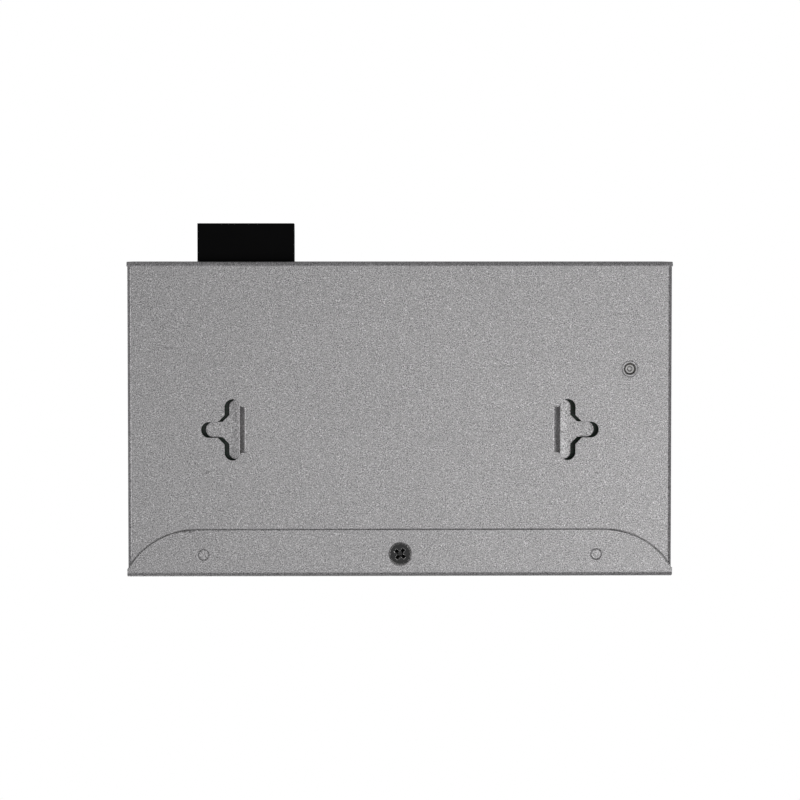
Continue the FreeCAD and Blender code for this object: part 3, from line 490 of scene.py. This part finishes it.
# Bright rubbed metal for the screw head's rounded rim: partly wear, partly painted glints.
RUBBED_EDGE = BlackOxide("black_screw", (0.03, 0.03, 0.03), 0.16, rub=1.0, worn=(0.9, 0.88, 0.86),
                         share=(0.44, 0.6))
ZINC = Plated("zinc_steel", (0.62, 0.63, 0.65), 0.34)
STANDOFF_ZINC = Plated("standoff_zinc", (0.52, 0.52, 0.525), 0.3)
SCREW_BRIGHT = Plated("bright_screw", (0.5, 0.5, 0.51), 0.42)
JACK_PLASTIC = Moulded("jack_plastic", (0.016, 0.016, 0.017), 0.42)
JACK_NICKEL = Plated("shield_nickel", (0.72, 0.71, 0.685), 0.2, (0.05, 1.0, 1.0), 0.1)
CONTACT_GOLD = Plated("contact_gold", (0.86, 0.62, 0.26), 0.2, (1.0, 0.1, 1.0), 0.04)
PIPE_CLEAR = ClearPlastic("clear_plastic", (0.93, 0.95, 0.96), 0.12)
LED_BODY = Moulded("led_white", (0.82, 0.8, 0.62), 0.4)
LED_LENS = ClearPlastic("led_lens", (0.35, 0.8, 0.4), 0.15)
HOLDER_PLASTIC = Moulded("holder_plastic", (0.03, 0.03, 0.031), 0.5)
HEADER_PLASTIC = Moulded("header_plastic", (0.02, 0.02, 0.02), 0.45)
PIN_TIN = Plated("tinned_pin", (0.72, 0.72, 0.7), 0.3, (1.0, 0.1, 1.0))
PLUG_PLASTIC = Moulded("plug_plastic", (0.0024, 0.0024, 0.0026), 0.5, gloss=0.05)
CLAMP_NICKEL = Plated("clamp_nickel", (0.6, 0.59, 0.56), 0.3)
CLAMP_STEEL = Plated("clamp_screw", (0.62, 0.62, 0.62), 0.28)
CHIP_BLACK = MouldedChip("chip_black", (0.014, 0.014, 0.015), 0.6)
PAD_GREY = SoftPad("pad_grey", (0.42, 0.45, 0.5), 0.8)
SINK_BLACK = Anodised("heat_sink_black", (0.015, 0.015, 0.016), 0.38)
FERRITE = Sintered("ferrite", (0.07, 0.068, 0.066), 0.62)
CERAMIC = Sintered("fuse_ceramic", (0.6, 0.52, 0.38), 0.5)
ARRESTER = MouldedChip("arrester_black", (0.018, 0.018, 0.019), 0.5)


# ---------------------------------------------------------------- modelling
class Tooling(Enum):
    """What a tool's volume does to a workpiece."""

    ADDS = "UNION"
    CUTS = "DIFFERENCE"


class Workpiece:
    """A mesh under work, shaped with edit-mode tools on faces and edges picked by place or normal."""

    same_point: float = 0.001 * MM
    hair: float = 0.0005 * MM
    sharp: float = math.radians(40.0)
    sliver_share: float = 1.0 / 6.0
    cap_share: float = 0.75

    def __init__(self, name: str) -> None:
        """Takes the object that was just added as the workpiece."""
        self.thing = bpy.context.view_layer.objects.active
        self.thing.name = name
        self.thing.data.name = name

    @staticmethod
    def clear() -> None:
        """Leaves object mode with nothing selected."""
        if bpy.context.object and bpy.context.object.mode != "OBJECT":
            bpy.ops.object.mode_set(mode="OBJECT")
        bpy.ops.object.select_all(action="DESELECT")

    @classmethod
    def box(cls, name: str, low: Sequence[float], high: Sequence[float]) -> "Workpiece":
        """Starts from a box between two corners."""
        cls.clear()
        low, high = Vector(low), Vector(high)
        bpy.ops.mesh.primitive_cube_add(size=1.0, location=(low + high) / 2, scale=high - low)
        return cls(name).placed()

    @classmethod
    def drum(cls, name: str, centre: Sequence[float], radius: float, length: float,
             far_radius: Optional[float] = None, sides: int = 64) -> "Workpiece":
        """Starts from an upright cylinder or truncated cone.

        Args:
            name: Name of the piece.
            centre: Its middle.
            radius: Radius of the lower end.
            length: Length from end to end.
            far_radius: Radius of the upper end, if it differs.
            sides: Number of sides.

        Returns:
            The workpiece.
        """
        cls.clear()
        bpy.ops.mesh.primitive_cone_add(vertices=sides, radius1=radius, depth=length, location=centre,
                                        radius2=radius if far_radius is None else far_radius)
        return cls(name).placed()

    @classmethod
    def copy_of(cls, node: str, name: Optional[str] = None) -> "Workpiece":
        """Starts from a construction node, its loose triangles merged into whole faces.

        Args:
            node: Name of the construction node.
            name: Name of the piece, where it isn't the node's own with an ending.

        Returns:
            The workpiece, a copy; the node itself stays as it is.
        """
        cls.clear()
        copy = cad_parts[node].copy()
        copy.data = copy.data.copy()
        for key in list(copy.keys()):
            del copy[key]
        copy.parent = None
        copy.hide_render = copy.hide_viewport = False
        bpy.context.scene.collection.objects.link(copy)
        copy.select_set(True)
        bpy.context.view_layer.objects.active = copy
        return cls(name or node + "_finished").merge(cls.same_point)

    def placed(self) -> "Workpiece":
        """Moves the piece's place into its mesh."""
        bpy.ops.object.transform_apply(location=True, rotation=True, scale=True)
        return self

    def activate(self) -> None:
        """Makes this the one selected object."""
        self.clear()
        self.thing.select_set(True)
        bpy.context.view_layer.objects.active = self.thing

    def edit_all(self) -> "Workpiece":
        """Enters edit mode with everything selected."""
        self.activate()
        bpy.ops.object.mode_set(mode="EDIT")
        bpy.ops.mesh.select_all(action="SELECT")
        return self

    def pick(self, faces: Optional[FaceTest] = None, edges: Optional[EdgeTest] = None) -> "Workpiece":
        """Enters edit mode with chosen faces or edges selected.

        Args:
            faces: Says, from a face's middle and normal, whether it is wanted.
            edges: Says, from an edge's middle and direction, whether it is wanted.

        Returns:
            The workpiece, in edit mode.
        """
        self.activate()
        bpy.ops.object.mode_set(mode="EDIT")
        bpy.ops.mesh.select_mode(type="FACE" if faces else "EDGE")
        bpy.ops.mesh.select_all(action="DESELECT")
        mesh = bmesh.from_edit_mesh(self.thing.data)
        if faces:
            for face in mesh.faces:
                face.select_set(bool(faces(face.calc_center_median(), face.normal)))
        elif edges:
            for edge in mesh.edges:
                first, last = (corner.co for corner in edge.verts)
                edge.select_set(bool(edges((first + last) / 2, (last - first).normalized())))
        bmesh.update_edit_mesh(self.thing.data)
        return self

    def scale(self, factors: Sequence[float], centre: Sequence[float]) -> "Workpiece":
        """Scales what is picked about a point."""
        bpy.ops.transform.resize(value=tuple(factors), center_override=tuple(centre))
        return self

    def end(self) -> "Workpiece":
        """Leaves edit mode."""
        bpy.ops.object.mode_set(mode="OBJECT")
        return self

    def modify(self, kind: str, **settings: Any) -> "Workpiece":
        """Adds a modifier with its settings and applies it."""
        self.activate()
        modifier = self.thing.modifiers.new(kind.lower(), kind)
        for name, value in settings.items():
            setattr(modifier, name, value)
        bpy.ops.object.modifier_apply(modifier=modifier.name)
        return self

    def ease(self, width: float, segments: int = 2) -> "Workpiece":
        """Rounds every sharp edge, once the slivers that are short beside the rounding are merged.

        Args:
            width: Width of the rounding, nought for none.
            segments: Number of faces across it.

        Returns:
            The workpiece.
        """
        if width > 0.0:
            self.merge(width * self.sliver_share)
            mesh = self.thing.data
            skin = BVHTree.FromPolygons([point.co for point in mesh.vertices],
                                        [tuple(face.vertices) for face in mesh.polygons])
            self.modify("BEVEL", width=width, segments=segments, limit_method="ANGLE",
                        angle_limit=self.sharp, use_clamp_overlap=False)
            self.cap(skin, self.cap_share * width)
        return self

    def cap(self, skin: BVHTree, reach: float) -> None:
        """Brings back points that a rounding threw out.

        Args:
            skin: The surface before the rounding.
            reach: How far from it a point may lie.
        """
        for point in self.thing.data.vertices:
            nearest, _, _, distance = skin.find_nearest(point.co)
            if distance > reach:
                point.co = nearest
        self.merge(self.hair)

    def merge(self, reach: float) -> "Workpiece":
        """Merges points nearer than reach and dissolves what then lies flat."""
        self.edit_all()
        bpy.ops.mesh.remove_doubles(threshold=reach)
        bpy.ops.mesh.dissolve_limited(angle_limit=FLATNESS)
        return self.end()

    def bevel(self, width: float, segments: int = 1) -> "Workpiece":
        """Bevels the picked edges."""
        bpy.ops.mesh.bevel(offset=width, segments=segments, clamp_overlap=False)
        return self

    def smooth(self, angle: float = 30.0) -> "Workpiece":
        """Shades gentle turns smooth, led by the larger faces, and keeps the others crisp."""
        self.activate()
        bpy.ops.object.shade_smooth_by_angle(angle=math.radians(angle))
        return self.modify("WEIGHTED_NORMAL", mode="FACE_AREA", weight=100, keep_sharp=True)

    def work(self, tooling: Tooling, tool: "Workpiece") -> "Workpiece":
        """Adds the tool's volume or cuts it away, and removes the tool."""
        self.modify("BOOLEAN", operation=tooling.value, solver="EXACT", object=tool.thing)
        bpy.data.objects.remove(tool.thing)
        return self

    def close(self) -> "Workpiece":
        """Merges doubles, fills open ends and turns all faces outwards."""
        self.edit_all()
        bpy.ops.mesh.remove_doubles(threshold=self.hair)
        bpy.ops.mesh.fill_holes(sides=0)
        bpy.ops.mesh.select_all(action="SELECT")
        bpy.ops.mesh.normals_make_consistent(inside=False)
        return self.end()

    def dress(self, finish: Finish, stands_for: Sequence[str] = ()) -> "Workpiece":
        """Gives the piece its finish, slot and body, and hides the nodes that it stands for.

        Args:
            finish: The finish, which also names the slot.
            stands_for: Names of the construction nodes that the piece replaces.

        Returns:
            The workpiece.
        """
        self.clear()
        self.thing.data.materials.clear()
        self.thing.data.materials.append(finish.material())
        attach(self.thing, BODY)
        if stands_for:
            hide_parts(*stands_for)
        log.info("%s: %d faces in %s", self.thing.name, len(self.thing.data.polygons), finish.slot)
        return self

    def paint(self, finish: Finish, faces: FaceTest) -> "Workpiece":
        """Gives chosen faces a second finish.

        Args:
            finish: The finish.
            faces: Says, from a face's middle and normal, whether it takes the finish.

        Returns:
            The workpiece.
        """
        self.thing.data.materials.append(finish.material())
        self.pick(faces=faces)
        self.thing.active_material_index = len(self.thing.data.materials) - 1
        bpy.ops.object.material_slot_assign()
        return self.end()


def level_at(middle: Vector, along: Vector, height: float) -> bool:
    """True of a level edge at one height."""
    return abs(middle.z - height) < 0.01 * MM and abs(along.z) < 0.01


def helix(name: str, x: float, y: float, radius: float, ridge: float, pitch: float,
          z_range: tuple[float, float]) -> Workpiece:
    """Thread ridge wound about an upright axis.

    Args:
        name: Name of the piece.
        x: Axis's place along X.
        y: Axis's place along Y.
        radius: Radius of the thread's root.
        ridge: Height of the ridge, negative inside a bore.
        pitch: Rise of one turn.
        z_range: Lowest and highest point of the ridge's middle.

    Returns:
        The closed ridge.
    """
    Workpiece.clear()
    bpy.ops.mesh.primitive_circle_add(vertices=3, radius=abs(ridge), fill_type="NOTHING",
                                      location=(radius, 0.0, 0.0), rotation=(math.pi / 2, 0.0, 0.0))
    thread = Workpiece(name)
    thread.edit_all()
    bpy.ops.transform.rotate(value=math.copysign(math.pi / 2, -ridge), orient_axis="Y",
                             center_override=(radius, 0.0, 0.0))
    thread.end().placed()
    steps = 28
    turns = max(1, int((z_range[1] - z_range[0]) / pitch))
    thread.modify("SCREW", axis="Z", screw_offset=pitch, iterations=turns, steps=steps, render_steps=steps,
                  use_merge_vertices=False)
    thread.thing.location = (x, y, z_range[0])
    thread.activate()
    thread.placed()
    return thread.close().smooth(50.0)


@dataclass(frozen=True)
class RefinedNode:
    """A construction node shown through a merged copy with eased edges."""

    node: str
    finish: Finish
    ease: float = 0.0

    def build(self) -> Workpiece:
        """Makes the copy, dresses it and hides the node."""
        return Workpiece.copy_of(self.node).ease(self.ease).smooth().dress(self.finish, [self.node])


# ---------------------------------------------------------------- sub-assemblies
@dataclass
class CaseSheets:
    """The coated tray and cover."""

    edge_ease: float = 0.09 * MM
    cover_ease: float = 0.13 * MM
    groove_depth: float = 0.18 * MM
    groove_flat: float = 0.14 * MM
    dimple_radius: float = 1.375 * MM
    dimple_depth: float = 0.35 * MM
    dimple_from_side: float = 20.0 * MM
    dimple_from_front: float = 5.75 * MM
    dimple_roll: float = 0.24 * MM
    tongue_root: float = 41.2 * MM
    tongue_tip: float = 54.0 * MM
    tongue_reach: float = 8.4 * MM
    tongue_y: float = -2.7 * MM
    slope_start: float = 41.47 * MM
    curve_start: float = 42.04 * MM
    curve_length: float = 2.4 * MM
    curve_lift: float = 0.36 * MM
    joggle_root: float = 40.5 * MM
    joggle_half_width: float = 5.97 * MM
    joggle_margin: float = 0.3 * MM
    above_floor: float = 0.9 * MM
    below_board: float = 3.2 * MM
    lift_rise: float = 0.4 * MM
    curve_cuts: int = 6
    pulls: tuple[tuple[float, float], ...] = tuple(
        (across * MM, pull * MM) for across, pull in (
            (40.5, 0.65), (41.0, 0.45), (41.5, 0.3), (42.0, 0.35), (42.5, 0.5), (44.6, 0.0)))

    def build(self) -> None:
        """Shows both sheets with the coat's rounded edges."""
        tray = Workpiece.copy_of("base_tray")
        tray.pick(edges=lambda middle, along: level_at(middle, along, self.groove_depth))
        tray.bevel(self.groove_flat).end()
        self.sweep_tongues(tray)
        tray.ease(self.edge_ease).smooth().dress(CASE_COAT, ["base_tray"])
        cover = Workpiece.copy_of("top_cover")
        low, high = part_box("top_cover")
        dimple = Vector((high.x - self.dimple_from_side, low.y + self.dimple_from_front))
        cover.pick(edges=lambda middle, along: self.on_dimple(middle, along, dimple))
        cover.bevel(self.dimple_roll, 2).end()
        cover.ease(self.cover_ease).smooth().dress(CASE_COAT, ["top_cover"])

    def on_dimple(self, middle: Vector, along: Vector, dimple: Vector) -> bool:
        """True of the lip and the floor edge of the strip's two dimples."""
        away = math.hypot(abs(middle.x) - dimple.x, middle.y - dimple.y)
        lip = level_at(middle, along, 0.0) or level_at(middle, along, self.dimple_depth)
        return lip and abs(away - self.dimple_radius) < 0.05 * MM

    def sweep_tongues(self, tray: Workpiece) -> None:
        """Lets each keyhole's tongue run out of its joggle in a long soft curve, as a drawn one does.

        Args:
            tray: The tray, whose tongues are cut across and then moved point by point.
        """
        def on_tongue(middle: Vector, normal: Vector) -> bool:
            """True of a face on either tongue, above the floor sheet."""
            return (self.tongue_root < abs(middle.x) < self.tongue_tip
                    and self.above_floor < middle.z < self.below_board
                    and abs(middle.y - self.tongue_y) < self.tongue_reach)

        for side in (-1, 1):
            for index in range(1, self.curve_cuts + 1):
                place = side * (self.curve_start + index * self.curve_length / self.curve_cuts)
                tray.pick(faces=on_tongue)
                bpy.ops.mesh.bisect(plane_co=(place, 0.0, 0.0), plane_no=(1.0, 0.0, 0.0))
                tray.end()
        for point in tray.thing.data.vertices:
            across = abs(point.co.x)
            beside = abs(point.co.y - self.tongue_y)
            slope = across < self.curve_start + self.joggle_margin and beside < self.joggle_half_width
            joggled = point.co.z > self.above_floor or slope
            if (self.joggle_root < across < self.tongue_tip and point.co.z < self.below_board
                    and beside < self.tongue_reach and joggled):
                above = min(1.0, max(0.0, point.co.z / self.lift_rise))
                point.co.z -= self.curve_lift * self.curve_share(across) * above
                point.co.x -= math.copysign(self.joggle_pull(across), point.co.x)

    def joggle_pull(self, across: float) -> float:
        """How far the joggle is drawn towards its root, which widens its bend and steepens its slope.

        Args:
            across: Distance from the case's middle.

        Returns:
            The pull in metres, between the places that pulls lists.
        """
        for (near, first), (far, last) in zip(self.pulls, self.pulls[1:]):
            if near <= across <= far:
                return first + (last - first) * (across - near) / (far - near)
        return 0.0

    def curve_share(self, across: float) -> float:
        """Share of the curve's lift: up along the slope, then gently down.

        Args:
            across: Distance from the case's middle.

        Returns:
            The share, from nought to one.
        """
        climb = (across - self.slope_start) / (self.curve_start - self.slope_start)
        fade = (across - self.curve_start) / self.curve_length
        return max(0.0, climb) if climb < 1.0 else max(0.0, 1.0 - fade) ** 2


@dataclass
class CoverScrew:
    """Black countersunk screw whose recess tapers to a point."""

    wing_reach: float = 1.75 * MM
    wing_width: float = 0.9 * MM
    recess_depth: float = 1.35 * MM
    edge_ease: float = 0.11 * MM
    turn: float = math.radians(38.0)
    wing_taper: tuple[float, float, float] = (0.36, 0.6, 1.0)
    thread_pitch: float = 0.5 * MM
    thread_ridge: float = 0.1 * MM
    thread_root: float = 0.93
    thread_ends: tuple[float, float] = (0.2 * MM, 0.7 * MM)
    rim: float = 0.12 * MM

    def build(self) -> None:
        """Turns the head and shank, cuts the recess and winds the thread."""
        low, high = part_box("cover_screw")
        x, y = (low.x + high.x) / 2, (low.y + high.y) / 2
        head = (high.x - low.x) / 2
        shank = head * 0.5
        length = high.z - low.z
        screw = Workpiece.drum("cover_screw_turned", (x, y, low.z + length / 2), shank, length)
        cone = head - shank
        taper = Workpiece.drum("taper", (x, y, low.z + self.rim + cone / 2), head, cone, shank)
        rim = Workpiece.drum("rim", (x, y, low.z + self.rim / 2), head, self.rim)
        screw.work(Tooling.ADDS, taper).work(Tooling.ADDS, rim)
        screw.work(Tooling.CUTS, self.recess(x, y, low.z)).merge(0.01 * MM)
        screw.pick(edges=lambda middle, along: level_at(middle, along, low.z))
        screw.bevel(self.edge_ease, 3).end().smooth().dress(SCREW_BLACK, ["cover_screw"])
        # The head's rounded rim takes bright rubbed metal: partly wear, partly painted glints.
        rounded = low.z + 0.9 * self.edge_ease
        screw.paint(RUBBED_EDGE, lambda middle, normal: middle.z < rounded and -0.98 < normal.z < -0.2)
        start, stop = self.thread_ends
        helix("cover_screw_thread", x, y, shank * self.thread_root, self.thread_ridge, self.thread_pitch,
              (low.z + self.rim + cone + start, high.z - stop)).dress(SCREW_BLACK)

    def recess(self, x: float, y: float, z: float) -> Workpiece:
        """Cutter: four tapered wings turned about the axis.

        Args:
            x: Axis's place along X.
            y: Axis's place along Y.
            z: Height of the head's face.

        Returns:
            The cutter.
        """
        deep = self.recess_depth
        wings = []
        for index in range(2):
            low = Vector((x - self.wing_reach, y - self.wing_width / 2, z - deep / 8))
            high = Vector((x + self.wing_reach, y + self.wing_width / 2, z + deep))
            wing = Workpiece.box(f"wing_{index}", low, high)
            wing.pick(faces=lambda middle, normal: normal.z > 0.5)
            wing.scale(self.wing_taper, (x, y, z + deep)).end()
            wing.edit_all()
            bpy.ops.transform.rotate(value=-(self.turn + index * math.pi / 2), orient_axis="Z",
                                     center_override=(x, y, z))
            wings.append(wing.end())
        return wings[0].work(Tooling.ADDS, wings[1])


@dataclass
class BoardFixings:
    """Standoffs and board screws, with the threads that show."""

    pitch: float = 0.5 * MM
    bore: float = 1.5 * MM
    ridge: float = -0.06 * MM
    first_turn: float = 0.9 * MM
    coat_skin: float = 0.05 * MM

    def build(self) -> None:
        """Coats the standoff's flush end and winds its thread."""
        standoff = RefinedNode("through_standoff", STANDOFF_ZINC, 0.16 * MM).build()
        standoff.paint(CASE_COAT, lambda middle, normal: middle.z < self.coat_skin)
        low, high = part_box("through_standoff")
        x, y = (low.x + high.x) / 2, (low.y + high.y) / 2
        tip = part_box("earth_screw")[0].z
        helix("through_standoff_thread", x, y, self.bore, self.ridge, self.pitch,
              (self.first_turn, tip + self.pitch)).dress(STANDOFF_ZINC)
        RefinedNode("earth_screw", SCREW_BRIGHT, 0.03 * MM).build()
        RefinedNode("board_screws", SCREW_BRIGHT, 0.05 * MM).build()
        RefinedNode("blind_standoffs", ZINC, 0.06 * MM).build()
        RefinedNode("nut_plate", ZINC, 0.08 * MM).build()


@dataclass
class JackBlocks:
    """Both four-port jack blocks: housings, shields and contacts."""

    def build(self) -> None:
        """Finishes the blocks' own pieces."""
        for side in ("left", "right"):
            RefinedNode("jack_housing_" + side, JACK_PLASTIC, 0.1 * MM).build()
            RefinedNode("jack_shield_" + side, JACK_NICKEL, 0.05 * MM).build()
            RefinedNode("jack_contacts_" + side, CONTACT_GOLD, 0.04 * MM).build()


@dataclass
class Lamps:
    """Light pipes, their chip lamps, and the power lamp in its holder."""

    def build(self) -> None:
        """Finishes each piece."""
        for side in ("left", "right"):
            RefinedNode("light_pipe_" + side, PIPE_CLEAR, 0.08 * MM).build()
        RefinedNode("status_leds", LED_BODY, 0.06 * MM).build()
        RefinedNode("power_led", LED_LENS, 0.0).build()
        RefinedNode("led_holder", HOLDER_PLASTIC, 0.15 * MM).build()


@dataclass
class PowerTerminal:
    """Pluggable screw terminal at the rear."""

    def build(self) -> None:
        """Finishes the header, the plug and the metal in them."""
        RefinedNode("terminal_header", HEADER_PLASTIC, 0.12 * MM).build()
        RefinedNode("header_pins", PIN_TIN, 0.08 * MM).build()
        RefinedNode("terminal_plug", PLUG_PLASTIC, 0.12 * MM).build()
        RefinedNode("plug_clamps", CLAMP_NICKEL, 0.06 * MM).build()
        RefinedNode("plug_screws", CLAMP_STEEL, 0.08 * MM).build()
        RefinedNode("plug_contacts", PIN_TIN, 0.0).build()


@dataclass
class BoardParts:
    """The circuit board and what is soldered on it."""

    lead_height: float = 0.35 * MM

    def build(self) -> None:
        """Finishes the board and its parts."""
        self.board()
        for node in ("switch_chip", "lan_transformers", "regulator_chips", "memory_chip"):
            self.chip(node)
        RefinedNode("thermal_pad", PAD_GREY, 0.05 * MM).build()
        RefinedNode("heat_sink", SINK_BLACK, 0.1 * MM).build()
        RefinedNode("power_inductors", FERRITE, 0.15 * MM).build()
        RefinedNode("input_fuse", CERAMIC, 0.1 * MM).build()
        RefinedNode("surge_arresters", ARRESTER, 0.12 * MM).build()
        RefinedNode("crystal_can", SCREW_BRIGHT, 0.2 * MM).build()
        RefinedNode("chip_capacitors", CERAMIC, 0.06 * MM).build()
        self.cans()

    def board(self) -> None:
        """Green board with bare rings round its fixings."""
        fixings = []
        for node in ("earth_screw", "board_screws"):
            fixings += part_middles(node)
        places = tuple((round(x, 6), round(y, 6)) for x, y in fixings)
        RefinedNode("circuit_board", SolderMask("board_green", (0.003, 0.027, 0.011), 0.32, places)).build()

    def chip(self, node: str) -> None:
        """Black package with tinned leads."""
        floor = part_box(node)[0].z
        body = RefinedNode(node, CHIP_BLACK, 0.0).build()
        body.paint(PIN_TIN, lambda middle, normal: middle.z < floor + self.lead_height)

    def cans(self) -> None:
        """Sleeved capacitors with scored tops."""
        low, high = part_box("bulk_capacitors")
        radius = (high.y - low.y) / 2
        middles = tuple((round(x, 6), round(y, 6)) for x, y in part_middles("bulk_capacitors"))
        sleeve = CanSleeve("capacitor_sleeve", (0.02, 0.035, 0.09), 0.36, middles, radius, high.z)
        RefinedNode("bulk_capacitors", sleeve, 0.12 * MM).build()


def part_middles(node: str) -> list[tuple[float, float]]:
    """Finds where a node's separate solids stand.

    Args:
        node: Name of the construction node.

    Returns:
        The middle of each solid, seen from above, in order.
    """
    piece = Workpiece.copy_of(node, "scratch").edit_all()
    bpy.ops.mesh.separate(type="LOOSE")
    piece.end()
    middles = []
    for thing in list(bpy.context.selected_objects):
        corners = [Vector(corner) for corner in thing.bound_box]
        middle = sum(corners, Vector()) / len(corners)
        middles.append((middle.x, middle.y))
        bpy.data.objects.remove(thing)
    return sorted(middles)


# ---------------------------------------------------------------- studio
@dataclass(frozen=True)
class SoftLight:
    """A square soft light, aimed at the object."""

    name: str
    place: tuple[float, float, float]
    size: float
    power: float
    spread: float = 180.0

    def build(self, target: Vector) -> None:
        """Adds the light, its beam as wide as its spread in degrees."""
        lamp = bpy.data.lights.new(self.name, "AREA")
        lamp.energy = self.power
        lamp.shape = "RECTANGLE"
        lamp.size = lamp.size_y = self.size
        lamp.spread = math.radians(self.spread)
        thing = bpy.data.objects.new(self.name, lamp)
        thing.location = self.place
        thing.rotation_mode = "QUATERNION"
        thing.rotation_quaternion = (target - thing.location).to_track_quat("-Z", "Y")
        thing.visible_camera = False
        bpy.context.scene.collection.objects.link(thing)


@dataclass
class Studio:
    """Camera under the object, soft light on both sides of it, and a pale floor."""

    camera_place: tuple[float, float, float] = (0.01705, 0.044, -0.800)
    camera_target: tuple[float, float, float] = (0.00005, 0.0051, 0.0)
    lens: float = 137.75
    light_target: tuple[float, float, float] = (0.01, -0.02, 0.0)
    floor_size: float = 3.0
    floor_below: float = 0.05 * MM
    clip: tuple[float, float] = (0.01, 20.0)
    sky: Colour = (0.24, 0.24, 0.244)
    backdrop: Colour = (1.0, 1.0, 1.0)
    lights: tuple[SoftLight, ...] = field(default_factory=lambda: (
        SoftLight("softbox_under_left", (0.46, -0.04, -0.62), 0.34, 0.056, 50.0),
        SoftLight("softbox_under_right", (-0.34, -0.16, -0.80), 0.3, 0.038, 40.0),
        SoftLight("softbox_round_lens", (-0.1, -0.07, -1.00), 0.55, 0.099, 60.0),
        SoftLight("key_above", (-0.5, -0.55, 0.8), 0.5, 4.0),
        SoftLight("fill_above", (0.6, 0.4, 0.7), 0.6, 2.6),
        SoftLight("front_above", (0.35, -0.7, 0.6), 0.5, 2.0),
    ))

    def build(self) -> None:
        """Sets up everything round the object."""
        scene = bpy.context.scene
        scene.view_settings.view_transform = "Standard"
        self.camera()
        for light in self.lights:
            light.build(Vector(self.light_target))
        self.world()
        self.floor()

    def camera(self) -> None:
        """Camera that looks up at the underside, the rear edge at the picture's top."""
        data = bpy.data.cameras.new("camera")
        data.lens = self.lens
        data.clip_start, data.clip_end = self.clip
        camera = bpy.data.objects.new("camera", data)
        camera.location = self.camera_place
        sight = (Vector(self.camera_target) - Vector(self.camera_place)).normalized()
        right = sight.cross(Vector((0.0, 1.0, 0.0))).normalized()
        turn = Matrix((right, right.cross(sight), -sight)).transposed()
        camera.rotation_euler = turn.to_euler()
        bpy.context.scene.collection.objects.link(camera)
        bpy.context.scene.camera = camera

    def world(self) -> None:
        """White to the eye and a softer grey as light."""
        world = bpy.data.worlds.new("studio")
        world.use_nodes = True
        tree = world.node_tree
        tree.nodes.clear()
        path = tree.nodes.new("ShaderNodeLightPath")
        seen = tree.nodes.new("ShaderNodeBackground")
        seen.inputs["Color"].default_value = (*self.backdrop, 1.0)
        light = tree.nodes.new("ShaderNodeBackground")
        light.inputs["Color"].default_value = (*self.sky, 1.0)
        mix = tree.nodes.new("ShaderNodeMixShader")
        output = tree.nodes.new("ShaderNodeOutputWorld")
        tree.links.new(path.outputs["Is Camera Ray"], mix.inputs[0])
        tree.links.new(light.outputs[0], mix.inputs[1])
        tree.links.new(seen.outputs[0], mix.inputs[2])
        tree.links.new(mix.outputs[0], output.inputs["Surface"])
        bpy.context.scene.world = world

    def floor(self) -> None:
        """Pale floor, open to the eye from below."""
        Workpiece.clear()
        bpy.ops.mesh.primitive_plane_add(size=self.floor_size, location=(0.0, 0.0, -self.floor_below))
        floor = Workpiece("floor").thing
        sheet = NodeSheet("floor_paper")
        tone = sheet.noise(60.0 * MM, 3.0)
        colour = sheet.blend(tone * 0.2, (0.83, 0.83, 0.83), (0.78, 0.78, 0.785))
        paper = sheet.node("ShaderNodeBsdfDiffuse", {}, {"Color": colour})
        back = sheet.node("ShaderNodeNewGeometry").outputs["Backfacing"]
        clear = sheet.node("ShaderNodeBsdfTransparent")
        mix = sheet.node("ShaderNodeMixShader", {}, {
            0: back, 1: paper.outputs["BSDF"], 2: clear.outputs["BSDF"]})
        sheet.node("ShaderNodeOutputMaterial", {}, {"Surface": mix.outputs["Shader"]})
        floor.data.materials.append(sheet.material)
        for ray in ("shadow", "diffuse", "glossy", "transmission"):
            setattr(floor, "visible_" + ray, False)


def main() -> None:
    """Builds every sub-assembly, then the studio."""
    logging.basicConfig(level=logging.INFO, format="%(message)s")
    for part in (CaseSheets(), CoverScrew(), BoardFixings(), JackBlocks(), Lamps(), PowerTerminal(),
                 BoardParts(), Studio()):
        part.build()
        log.info("built %s", type(part).__name__)
    Workpiece.clear()


if __name__ == "__main__":
    main()
